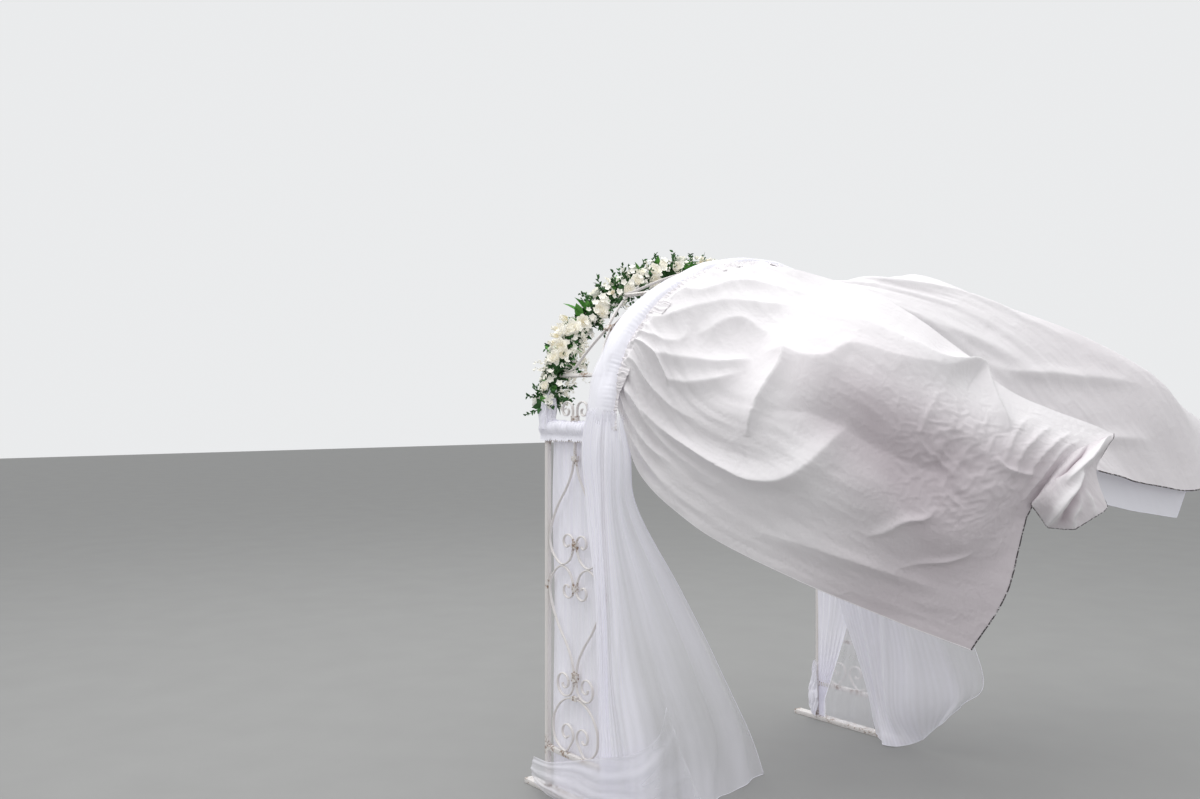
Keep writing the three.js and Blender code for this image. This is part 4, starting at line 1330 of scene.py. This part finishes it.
class CANOPY_OT_curtains(bpy.types.Operator):
    """Hang the sheer curtains inside the panels and behind the rear posts"""

    bl_idname = "canopy.curtains"
    bl_label = "Sheer Curtains"

    def execute(self, context):
        for side in PANEL_X:
            self.panel(side)
        self.side_curtain("right", RIGHT_CURTAIN_ROWS, (130, 170), (0.85, 1.5), tulle_of("side"), 0.014)
        self.side_curtain("left", LEFT_CURTAIN_ROWS, (120, 150), (0.67, 1.38), tulle_of("far"), 0.011)
        return {"FINISHED"}

    @staticmethod
    def panel(side):
        x = PANEL_X[side] + INWARD[side] * 0.0195
        drawn, swing = (0.0, 0.5) if side == "right" else (0.86, 2.0)
        top, drop, half_width = 1.4485, 1.427, 0.172
        share = 0.7

        def gathered(v):
            return drawn * rise(v - 0.52, 0.42) ** 1.2

        def flat(u, v):
            bunched, stretch = np.minimum(u, share) * (1 - gathered(v)), np.maximum(u - share, 0)
            across = bunched + stretch * (1 + gathered(v) * share / (1 - share))
            return np.stack([np.full(len(u), x), half_width * (2 * across - 1), top - drop * v], 1)

        def folds(u, v):
            near_top = fade(v, 0.05)
            drift = 0.03 * cloud(u, v, (4, 4), 61) + 0.05 * np.sin(2.4 * v + swing)
            wave = np.sin(TURN * 9 * (u + drift)) + 0.5 * np.sin(TURN * 17 * (u + 0.6 * drift) + 1)
            crossing = np.sin(TURN * (3.5 * u + 1.6 * v)) * bell(v - 0.25, 0.2)
            deep = (0.0026 + 0.0035 * fade(v, 0.15)) * (1 - 0.6 * near_top)
            tucks = 0.0022 * near_top * np.sin(TURN * 34 * u)
            bunched = gathered(v) * rise(0.75 - u, 0.1) * 0.011 * INWARD[side] * (1.6 + wave)
            return deep * (wave + 0.8 * crossing) + tucks - bunched

        def marks(u, v):
            lines = np.abs(np.sin(np.pi * 9 * (u + 0.03 * cloud(u, v, (4, 4), 61))))
            slant = cloud(u + 0.35 * v, v, (7, 3), 63)
            pulled = np.where(u < share, 0.8 * gathered(v), -1.3 * np.minimum(2.2 * gathered(v), 1))
            return {"gather": 0.5 * fade(v, 0.06) + 0.12 * (1 - lines) ** 2 + 0.25 * slant + pulled}

        piece = woven(f"{side}_panel_curtain_net", flat, (130, 110), tulle_of("curtain"), folds, marks)
        stands_for(f"{side}_panel_curtain")

    @staticmethod
    def side_curtain(side, rows, cells, flat, material, depth):
        surface = hanging(rows)
        # Where it thins out across and down, how lively its folds show, and how many it has
        inner, begins, lively, count = (0.46, 0.42, 1.0, 8) if side == "right" else (0.70, 0.05, 0.4, 5)

        def folds(u, v):
            spread = np.clip(0.25 + v, 0, 1)
            drift = 0.04 * cloud(u, v, (5, 4), 71)
            wave = np.sin(TURN * count * (u + drift)) + 0.5 * np.sin(TURN * 1.9 * count * (u + drift) + 1)
            broad = cloud(u, v, (5, 5), 73)
            fine = 0.25 * gathers(u + 0.5 * drift, 31) * fade(v, 0.35)
            return depth * spread * (0.5 * wave + 0.6 * broad + fine) * rise(v, 0.02)

        def marks(u, v):
            drift = 0.03 * cloud(u, v, (4, 3), 71)
            broad = gathers(u + drift, 5.5, 0.7)
            fine = gathers(u + drift, 27) * rise(inner + 0.35 - u, 0.4)
            thin = rise(u - inner, 0.2) * rise(v - begins, 0.35)
            dense = 0.8 * fade(v, 0.22) + 0.35 * rise(inner - u, 0.15)
            band = 0.35 * bell(u - inner - 0.10, 0.05) + 0.25 * bell(u - 0.80, 0.03) * v
            mist = 0.26 * broad + 0.26 * fine + 0.14 * cloud(u, v, (9, 6), 74)
            return {"gather": dense + band + lively * mist - 0.75 * thin - 4.0 * fade(v, 0.03)}

        piece = woven(f"{side}_side_curtain_net", surface, cells, material, folds, marks)
        run, one = np.linspace(0, 1, 140), np.ones(140)
        rim = (np.concatenate([run, one]), np.concatenate([one, 1 - run * 0.9]))
        hem = hem_line(f"{side}_side_curtain_hem", surface, folds, rim, 0.0014, tulle_of("header"))
        stands_for(f"{side}_side_curtain")


class CANOPY_OT_base_cloths(bpy.types.Operator):
    """Wrap the swag round the right base and the tie round the left front post"""

    bl_idname = "canopy.base_cloths"
    bl_label = "Base Swag and Tie"

    def execute(self, context):
        def slanted(u, v):
            return v + 0.2 * u + 0.09 * cloud(u, v, (6, 3), 81)

        def swag_folds(u, v):
            slant = slanted(u, v)
            wave = np.sin(TURN * 3.1 * slant) + 0.5 * np.sin(TURN * 6.3 * slant + 1)
            return 0.0016 * wave + 0.004 * cloud(u, v, (9, 4), 82)

        def swag_marks(u, v):
            slant = slanted(u, v)
            lines = gathers(slant, 3.1, 0.8) + 0.5 * gathers(slant, 7.3)
            rim = 0.9 * bell(1 - v, 0.025) + 0.5 * bell(1 - u, 0.008)
            mist = 0.3 + 0.16 * lines + 0.25 * cloud(u, v, (9, 5), 83)
            return {"gather": mist + rim - 0.7 * rise(u - 0.6, 0.3)}

        net, surface = tulle_of("swag"), hanging(SWAG_ROWS)
        swag = woven("right_base_swag_net", surface, (210, 90), net, swag_folds, swag_marks)
        stands_for("right_base_swag")

        def tie_folds(u, v):
            twisted = u + 0.35 * v + 0.08 * cloud(u, v, (4, 5), 91)
            return 0.0038 * gathers(twisted, 6.5) + 0.004 * cloud(u, v, (8, 12), 92)

        def tie_marks(u, v):
            return {"gather": 0.4 - 1.6 * fade(1 - v, 0.15)}

        net, surface = tulle_of("header"), hanging(TIE_ROWS)
        tie = woven("left_base_tie_net", surface, (70, 60), net, tie_folds, tie_marks)
        stands_for("left_base_tie")
        return {"FINISHED"}


class CANOPY_OT_headers(bpy.types.Operator):
    """Gather the tulle headers on the rear arc and on the top rails"""

    bl_idname = "canopy.headers"
    bl_label = "Gathered Headers"

    # The arc header's section, back from the rear arc's middle and out from it
    section = [
        (-0.092, 0.010), (-0.060, 0.026), (-0.020, 0.034), (0.012, 0.034), (0.030, 0.022), (0.0325, 0.0),
        (0.028, -0.016), (0.014, -0.027), (-0.008, -0.028),
    ]
    # Half of the rail header's section, across from the panel and up; its middle is a line of stitches
    loop = [
        (0.017, 1.4335), (0.013, 1.447), (0.0125, 1.4585), (0.0185, 1.466), (0.0245, 1.479), (0.0225, 1.495),
        (0.012, 1.508),
    ]
    stitches = 1.4585

    def execute(self, context):
        for side, start in (("right", -2.0), ("left", 182.0)):
            self.arc_header(side, start, 90.0)
            self.rail_header(side, PANEL_X[side])
        return {"FINISHED"}

    def arc_header(self, side, start, end):
        outline = np.array([(y, out, 0.0) for y, out in self.section])

        def sleeve(u, v):
            across = spline(outline, v)
            warped = u + 0.004 * cloud(u, v, (40, 3), 103)
            pucker = bell(v - 0.56, 0.16) * (0.5 + 0.5 * cloud(u, 0 * v, (23, 1), 104))
            ripple = gathers(warped, 71) + 0.6 * gathers(warped, 44, 2 * v)
            long = cloud(u, v, (6, 15), 105) + 0.5 * cloud(u, v, (14, 30), 106)
            puff = 0.0022 * pucker * ripple + 0.0036 * long + 0.007 * cloud(u, v, (13, 3), 101)
            slim = bell(u, 0.11)
            haunch = 0.022 * bell(u - 0.40, 0.26) * np.clip(1 - v / 0.55, 0, 1)
            flare = np.where(across[:, 0] > 0, 0.9, 0.25)
            wide = 1 + bell(u, 0.20) * flare * (1 - 0.8 * slim)
            out = (1 - 0.30 * slim) * across[:, 1] * (1 + puff / 0.04) + haunch
            place = arch_point(start + (end - start) * u, 0.0, out)
            place[:, 1] = HALF_DEPTH + across[:, 0] * wide * (1 + 0.4 * puff / 0.04)
            return place

        def marks(u, v):
            soft = 0.10 - 0.55 * fade(v, 0.035) - 6.0 * fade(u, 0.035)
            return {"gather": soft + 0.25 * cloud(u, v, (9, 18), 102) + 0.3 * bell(v - 0.56, 0.2)}

        piece = woven(f"{side}_arc_header_net", sleeve, (420, 26), tulle_of("header"), None, marks)
        frill = self.frill(side, start, end)
        stands_for(f"{side}_arc_header")

    @staticmethod
    def frill(side, start, end):
        """The sheet's puckered edge where its gathers begin."""
        def strip(u, v):
            drift = u + 0.010 * cloud(u, v, (30, 3), 112) + 0.004 * v * cloud(u, 0 * v, (60, 1), 115)
            wave = gathers(drift, 61) + 0.6 * gathers(drift, 97) + 0.8 * cloud(u, v, (110, 3), 113)
            wide = 0.046 + 0.016 * cloud(u, 0 * v, (24, 1), 111)
            out = 0.020 - 0.027 * v**1.3 + 0.0028 * wave * np.sin(np.pi * (0.08 + 0.8 * v))
            place = arch_point(start + (end - start) * (0.05 + 0.95 * u), 0.0, out)
            place[:, 1] = HALF_DEPTH + 0.022 + wide * v
            return place

        # The frill's marks paint a faint, even shade with a little noise.
        def marks(u, v):
            return {"hollow": 0.1 + 0.1 * cloud(u, v, (90, 2), 114)}

        cloth = once("crumpled_sheet_cloth", sheet_cloth)
        return woven(f"{side}_arc_header_frill", strip, (760, 10), cloth, None, marks)

    def rail_header(self, side, x):
        outline = np.array([(a, b, 0.0) for a, b in self.loop + across_of(self.loop)[::-1]])
        middle = 1.474

        def sleeve(u, v):
            across = spline(outline, v)
            drift = u + 0.010 * cloud(u, v, (16, 5), 122)
            ripple = gathers(drift, 27) + 0.6 * gathers(drift, 46) + 1.2 * cloud(u, v, (34, 7), 123)
            stitched = 1 - 0.8 * bell(across[:, 1] - self.stitches, 0.004)
            puff = 1 + (0.085 * ripple + 0.12 * cloud(u, v, (9, 4), 121)) * stitched
            ends = rise(np.minimum(u, 1 - u), 0.03) ** 0.5
            wide = across[:, 0] * puff * (0.3 + 0.7 * ends)
            tall = (across[:, 1] - middle) * puff * (0.5 + 0.5 * ends)
            return np.stack([x + wide, -0.232 + 0.392 * u, middle + tall], 1)

        def strip(u, v):
            wave = np.sin(TURN * 34 * u + 1.5 * np.sin(19 * u))
            tall = 0.014 + 0.006 * cloud(u, 0 * v, (30, 1), 131)
            return np.stack([x + 0.007 * wave * v, -0.228 + 0.384 * u, 1.500 + tall * v], 1)

        name, net = f"{side}_curtain_header", tulle_of("header")
        piece = woven(f"{name}_net", sleeve, (230, 44), net, None, lambda u, v: {"gather": 0.35 + 0 * u})
        frill = woven(f"{name}_frill", strip, (300, 3), net, None, lambda u, v: {"gather": 0.2 + 0 * u})
        stands_for(name)


class CANOPY_OT_garland(bpy.types.Operator):
    """Tie the silk roses, blossoms, leaves, strands and the tulle bunch to the front arc"""

    bl_idname = "canopy.garland"
    bl_label = "Silk Garland"

    # Each place starts with degrees up the arc and degrees round it, from outwards to the rear
    # Open roses: how far out, and their size as a share of the rose setting
    roses = [
        (45, 80, 0.050, 1.15), (34, 30, 0.052, 1.35), (33, 5, 0.062, 1.2), (28, 22, 0.058, 1.0),
        (26, 48, 0.052, 0.9), (24, 25, 0.060, 0.9), (38.5, 50, 0.050, 0.85), (58, 90, 0.052, 0.95),
        (62.5, 70, 0.048, 0.9), (70, 60, 0.052, 1.05), (69, 100, 0.052, 0.95), (74, 48, 0.056, 0.85),
        (78.5, 70, 0.056, 1.0), (54, 108, 0.050, 0.85), (88, 70, 0.044, 0.85), (66, 35, 0.046, 0.8),
        (50, -20, 0.050, 1.1), (27, -35, 0.050, 1.0), (84, -15, 0.050, 1.1), (66, -25, 0.050, 0.9),
        (15, 15, 0.046, 0.8), (40, 215, 0.046, 0.9), (73, 225, 0.046, 0.95), (59, 250, 0.046, 0.85),
        (22, 240, 0.046, 0.9),
    ]
    # Clusters of blossoms: how far out
    clusters = [
        (46, 40, 0.056), (50, 78, 0.060), (61, 40, 0.060), (48, 60, 0.056), (36, 70, 0.050),
        (31, 45, 0.056), (57, 70, 0.054), (41, 85, 0.052), (66, 80, 0.056), (76, 60, 0.058),
        (81, 45, 0.050), (86, 30, 0.050), (23, 60, 0.054), (30, 95, 0.050), (19, 20, 0.050),
        (36, -15, 0.050), (55, -10, 0.050), (73, 0, 0.050), (12, 40, 0.040), (64, 120, 0.050),
        (45, -50, 0.050),
    ]
    # More roses and clusters on the front, all as far out as front_lift says
    front = [
        (11, -70), (15, -100), (20, -85), (24, -60), (29, -95), (33, -75), (39, -105), (43, -80), (48, -65),
        (53, -100), (57, -80), (61, -60), (65, -95), (70, -75), (74, -105), (78, -80), (82, -60), (86, -95),
        (89, -75),
    ]
    # Sprays of dark leaves: their reach
    dark = [
        (49, -10, 0.10), (51, 5, 0.10), (53, 20, 0.10), (55, 30, 0.09), (57, 40, 0.08), (47, 20, 0.09),
        (21, 70, 0.09), (19, 55, 0.09), (17, 40, 0.09), (24, 88, 0.09), (22, 95, 0.08), (14, 100, 0.08),
        (15, 60, 0.08), (59, 150, 0.08), (62, 112, 0.09), (42, 125, 0.09), (44, 100, 0.08), (65, 50, 0.08),
        (67, 20, 0.07), (54, 130, 0.08), (50, 110, 0.08), (13, 120, 0.09), (48, 95, 0.10), (51, 92, 0.11),
        (54, 95, 0.11), (57, 100, 0.11), (60, 98, 0.10), (63, 95, 0.10), (66, 105, 0.09),
    ]
    # Large bright leaves: their length
    bright = [
        (41, -2, 0.100), (43, 8, 0.092), (40, 10, 0.080), (43.5, 22, 0.070), (82.5, 55, 0.085),
        (84.5, 70, 0.085), (81.5, 75, 0.070), (35, -30, 0.070), (66, 15, 0.065), (73, 20, 0.065),
        (25, -20, 0.070), (14, 60, 0.060), (30, 100, 0.060),
    ]
    # Hanging strings of petals: their drop
    hung = [
        (39, 35, 0.24), (38, 60, 0.23), (37, 85, 0.22), (36, 75, 0.16), (28, 100, 0.13), (25, 115, 0.13),
        (22, 110, 0.12), (19, 120, 0.11), (30, 80, 0.14), (33, 95, 0.12), (16, 95, 0.10), (24, 80, 0.08),
        (30, -60, 0.16), (45, -70, 0.14), (60, 200, 0.10),
    ]
    # Upright sprigs: their reach
    sprigs = [
        (21, 8, 0.10), (23, -2, 0.09), (36, -20, 0.06), (30, 0, 0.06), (57, -10, 0.05), (62, 15, 0.06),
        (70, 20, 0.05),
    ]
    # Pale buds: how far out
    buds = [
        (38, -28, 0.070), (37, -18, 0.066), (33.5, -25, 0.072), (31, -12, 0.064), (89, 50, 0.060),
        (52, 60, 0.060), (28, 5, 0.070),
    ]
    # Each ring of a rose: petals, height, width, flare, distance from the middle, depth of tone
    rings = [
        (4, 0.34, 0.30, 0.15, 0.02, 1.0), (5, 0.40, 0.42, 0.45, 0.05, 0.7),
        (6, 0.46, 0.52, 0.75, 0.08, 0.4), (7, 0.50, 0.58, 1.05, 0.10, 0.15),
    ]
    spin = 6.28
    fifth = 1.2566
    front_lift = 0.050
    in_cluster = 9
    cover_leaves = 330
    loose_leaves = 30
    sprig_petals = 22
    petal_step = 0.0036
    leaf_step = 0.0052

    def execute(self, context):
        settings = context.scene.canopy_garland
        leaf, bright = settings.leaf, settings.bright
        petals = once("silk_petals", petal_silk)
        small = once("small_leaves", lambda name: leaf_silk(name, leaf, 2.2))
        large = once("big_leaves", lambda name: leaf_silk(name, bright, 1.5))
        parts = (
            ("roses", self.open_roses, petals, "silk_flowers"),
            ("blossoms", self.blossoms, petals, "silk_flowers"),
            ("strands", self.strands, petals, "silk_flowers"),
            ("leaf_sprays", self.leaves, small, "silk_leaves"),
            ("big_leaves", self.big_leaves, large, "silk_leaves"),
        )
        for side, mirrored, seed in (("right", 1.0, 5), ("left", -1.0, 6)):
            self.mirrored, self.chance = mirrored, np.random.RandomState(seed)
            for part, fill_in, material, slot in parts:
                bm = bmesh.new()
                bm.verts.layers.float.new("depth")
                fill_in(bm, settings)
                piece = keep(f"{side}_{part}", mesh_of(bm, f"{side}_{part}"), material)
                if part == "roses":
                    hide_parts(f"{side}_garland")
            self.core(side, small)
            bunch = self.bunch(side)
        return {"FINISHED"}

    def on_side(self, degrees):
        return degrees if self.mirrored > 0 else 180 - degrees

    def seat(self, degrees, around, lift):
        """Place and facing of something on the garland: around is 0 outwards and 90 to the rear."""
        angle = self.on_side(degrees)
        out, forward = arch_frame(angle)
        turn = math.radians(around)
        facing = (out * math.cos(turn) + Vector((0, 1, 0)) * math.sin(turn)).normalized()
        centre = Vector(arch_point(angle, -HALF_DEPTH - 0.004, 0.006))
        return centre + facing * lift, facing, forward * self.mirrored

    def stand(self, place, facing, tilt=0.0):
        """A matrix that turns +Z to the facing, with a random spin about it."""
        spin = Matrix.Rotation(self.chance.uniform(0, self.spin), 4, "Z")
        return Matrix.Translation(place) @ aimed(facing, "Z", "Y") @ spin @ Matrix.Rotation(tilt, 4, "X")

    @staticmethod
    def petal(bm, length, width, flare, matrix, deep, rows, columns=4):
        """One cupped petal: it leaves the middle at a slant, then turns up towards its rounded rim."""
        made = bmesh.ops.create_grid(bm, x_segments=columns, y_segments=rows, size=0.5)["verts"]
        layer = bm.verts.layers.float["depth"]
        slant, turn = 1.25 * flare, 0.8 * flare
        for vert in made:
            s, t = vert.co.x, vert.co.y + 0.5
            wide = width * math.sin(math.pi * (0.14 + 0.66 * t)) ** 0.6
            run = t * (1 - 0.9 * s * s * t)
            out = (math.cos(slant - turn * run) - math.cos(slant)) / turn
            up = (math.sin(slant) - math.sin(slant - turn * run)) / turn
            vert[layer] = deep * (1 - t)
            vert.co = (wide * s, length * out - 1.1 * wide * s * s, length * up)
        bmesh.ops.transform(bm, matrix=matrix, verts=made)

    def five_petals(self, bm, length, width, flare, base, deep, rows):
        for i in range(5):
            turn = Matrix.Rotation(i * self.fifth, 4, "Z")
            self.petal(bm, length, width, flare, base @ turn, deep, rows, columns=2)

    def open_roses(self, bm, settings):
        faced = [(*place, self.front_lift, 0.95) for place in self.front[::3]]
        for degrees, around, lift, size in self.roses + faced:
            place, facing, _ = self.seat(degrees, around, lift - 0.006)
            across = settings.rose * size
            base = self.stand(place, facing, self.chance.uniform(-0.3, 0.3))
            for count, tall, wide, flare, out, deep in self.rings:
                phase = self.chance.uniform(0, self.spin)
                for i in range(count):
                    angle = phase + i * TURN / count + self.chance.uniform(-0.15, 0.15)
                    turn = Matrix.Rotation(angle, 4, "Z") @ Matrix.Translation((0, out * across, 0))
                    flared = flare * self.chance.uniform(0.85, 1.2)
                    self.petal(bm, across * tall, across * wide, flared, base @ turn, deep, rows=5)

    def blossoms(self, bm, settings):
        """Small five-petalled blossoms in loose clusters, and pale buds."""
        faced = [(*place, self.front_lift) for place in self.front[1::3] + self.front[2::3]]
        for degrees, around, lift in self.clusters + faced:
            for _ in range(self.in_cluster):
                turned = degrees + self.chance.normal(0, 1.8), around + self.chance.normal(0, 20)
                place, facing, _f = self.seat(*turned, lift + self.chance.uniform(-0.016, 0.018))
                base = self.stand(place, facing, self.chance.uniform(-0.7, 0.7))
                radius = self.chance.uniform(0.013, 0.021)
                self.five_petals(bm, radius, radius * 0.9, 1.3, base, deep=0.25, rows=2)
        for degrees, around, lift in self.buds:
            place, facing, forward = self.seat(degrees, around, lift)
            base = self.stand(place, (facing - forward * 0.4).normalized())
            self.five_petals(bm, 0.038, 0.020, 0.28, base, deep=0.9, rows=4)

    @staticmethod
    def leaf(bm, length, width, matrix, fold=0.35):
        made = bmesh.ops.create_grid(bm, x_segments=2, y_segments=4, size=0.5)["verts"]
        layer = bm.verts.layers.float["depth"]
        for vert in made:
            s, t = vert.co.x * 2, vert.co.y + 0.5
            wide = width / 2 * math.sin(math.pi * (0.06 + 0.94 * t) ** 0.8)
            vert[layer] = 1.0 - abs(s)
            vert.co = (wide * s, length * t, abs(s) * fold * wide - 0.25 * length * t * t)
        bmesh.ops.transform(bm, matrix=matrix, verts=made)

    def leaves(self, bm, settings):
        """Sprays of small dark leaves, and broader ones that cover the core."""
        pick = self.chance.uniform
        free = [(pick(8, 89), pick(0, 360), pick(0.06, 0.09)) for _ in range(settings.sprays)]
        for degrees, around, reach in self.dark + free:
            place, facing, forward = self.seat(degrees, around, 0.018)
            way = (facing + forward * pick(-0.8, 0.8) + Vector(pick(-0.3, 0.3, 3))).normalized()
            count = int(reach / self.leaf_step)
            for i in range(count):
                t = (i + 1) / count
                lean = Matrix.Rotation((1 if i % 2 else -1) * pick(0.5, 1.1), 4, "Z")
                size = pick(0.015, 0.026) * (1.15 - 0.4 * t)
                spot = Matrix.Translation(place + way * (reach * t)) @ aimed(way, "Y", "Z")
                spun = Matrix.Rotation(pick(0, self.spin), 4, "Y")
                self.leaf(bm, size, size * 0.55, spot @ spun @ lean)
        for _ in range(self.cover_leaves):
            place, facing, forward = self.seat(pick(9, 90), pick(-180, 180), pick(0.016, 0.034))
            way = (facing * pick(0.2, 1) + forward * pick(-1, 1)).normalized()
            size = pick(0.030, 0.050)
            spun = Matrix.Rotation(pick(0, self.spin), 4, "Y")
            self.leaf(bm, size, size * 0.62, Matrix.Translation(place) @ aimed(way, "Y", "Z") @ spun)

    def big_leaves(self, bm, settings):
        pick = self.chance.uniform
        free = [(pick(10, 88), pick(-60, 140), pick(0.035, 0.055)) for _ in range(self.loose_leaves)]
        for degrees, around, size in self.bright + free:
            place, facing, forward = self.seat(degrees, around, 0.030)
            way = (facing + forward * pick(-0.2, 0.8)).normalized()
            spun = Matrix.Rotation(pick(-0.9, 0.9), 4, "Y")
            self.leaf(bm, size, size * 0.46, Matrix.Translation(place) @ aimed(way, "Y", "Z") @ spun)

    def strands(self, bm, settings):
        """Hanging strings of small white petals and pale upright sprigs."""
        pick = self.chance.uniform
        for degrees, around, drop in self.hung:
            place, _facing, _f = self.seat(degrees, around, 0.050)
            for i in range(int(drop / self.petal_step)):
                sway = Vector(pick(-0.012, 0.012, 3)) * (0.5 + 0.5 * math.sin(i * 0.35))
                spot = Matrix.Translation(place + Vector((0, 0, -self.petal_step * i)) + sway)
                size = pick(0.010, 0.017)
                turned = Matrix.Rotation(pick(0, self.spin), 4, "Z") @ Matrix.Rotation(pick(0.6, 2.4), 4, "X")
                self.petal(bm, size, size * 0.85, 0.5, spot @ turned, deep=0.2, rows=2, columns=2)
        last = self.sprig_petals - 1
        for degrees, around, reach in self.sprigs:
            place, facing, forward = self.seat(degrees, around, 0.035)
            way = (facing - forward * 0.45).normalized()
            for i in range(self.sprig_petals):
                spot = Matrix.Translation(place + way * (reach * i / last) + Vector(pick(-0.006, 0.006, 3)))
                turned = Matrix.Rotation(pick(0, self.spin), 4, "Z") @ Matrix.Rotation(0.7, 4, "X")
                matrix = spot @ aimed(way, "Z", "Y") @ turned
                self.petal(bm, 0.012, 0.008, 0.4, matrix, deep=0.3, rows=2, columns=2)

    def core(self, side, material):
        """The wired moss-green base that the flowers are tied to."""
        angles = self.on_side(np.linspace(11.0, 89.8, 70))
        line = arch_point(angles, -HALF_DEPTH - 0.004, 0.004)
        mesh = tube_along([tuple(p) for p in line], 0.026, resolution=3)
        points = points_of(mesh)
        set_points(mesh, points + np.random.RandomState(9).uniform(-0.004, 0.004, points.shape))
        mesh.name = f"{side}_garland_core"
        return keep(mesh.name, mesh, material)

    def bunch(self, side):
        """The tulle gathered round the foot of the front arc under the flowers."""
        def sleeve(u, v):
            puff = 1 + 0.30 * cloud(u * (1 - u) * 4, v, (6, 5), 141) + 0.16 * np.sin(TURN * 9 * u + 4 * v)
            wide = (0.021 + 0.012 * np.sin(np.pi * np.clip(v * 1.1, 0, 1))) * puff
            place = arch_point(self.on_side(2.2 + 13.0 * v), 0.0, wide * np.cos(TURN * u) + 0.008)
            place[:, 1] = -HALF_DEPTH + wide * np.sin(TURN * u)
            return place

        def marks(u, v):
            return {"gather": 0.25 + 0 * u}

        return woven(f"{side}_arc_foot_net", sleeve, (64, 40), tulle_of("header"), None, marks)


class CANOPY_PT_panel(bpy.types.Panel):
    """Build steps and sizes of the canopy"""

    bl_label = "Wedding Arch Canopy"
    bl_idname = "CANOPY_PT_panel"
    bl_space_type = "VIEW_3D"
    bl_region_type = "UI"
    bl_category = "Canopy"

    def draw(self, context):
        for step in STEPS:
            self.layout.operator(step.bl_idname)
        for group in ("canopy_iron", "canopy_cloth", "canopy_garland", "canopy_stage"):
            settings = getattr(context.scene, group)
            box = self.layout.box()
            for key in settings.__annotations__:
                box.prop(settings, key)


STEPS = (
    CANOPY_OT_stage,
    CANOPY_OT_tubes,
    CANOPY_OT_panel_scrolls,
    CANOPY_OT_arc_scrolls,
    CANOPY_OT_welds,
    CANOPY_OT_sheets,
    CANOPY_OT_curtains,
    CANOPY_OT_base_cloths,
    CANOPY_OT_headers,
    CANOPY_OT_garland,
)
SETTINGS = {
    "canopy_iron": IronSettings,
    "canopy_cloth": ClothSettings,
    "canopy_garland": GarlandSettings,
    "canopy_stage": StageSettings,
}


def register():
    for kind in (*SETTINGS.values(), *STEPS, CANOPY_PT_panel):
        bpy.utils.register_class(kind)
    for name, kind in SETTINGS.items():
        setattr(bpy.types.Scene, name, PointerProperty(type=kind))


def unregister():
    for name in SETTINGS:
        delattr(bpy.types.Scene, name)
    for kind in (CANOPY_PT_panel, *reversed(STEPS), *reversed(SETTINGS.values())):
        bpy.utils.unregister_class(kind)


def main():
    register()
    for step in STEPS:
        group, name = step.bl_idname.split(".")
        getattr(getattr(bpy.ops, group), name)()


if __name__ == "__main__":
    main()
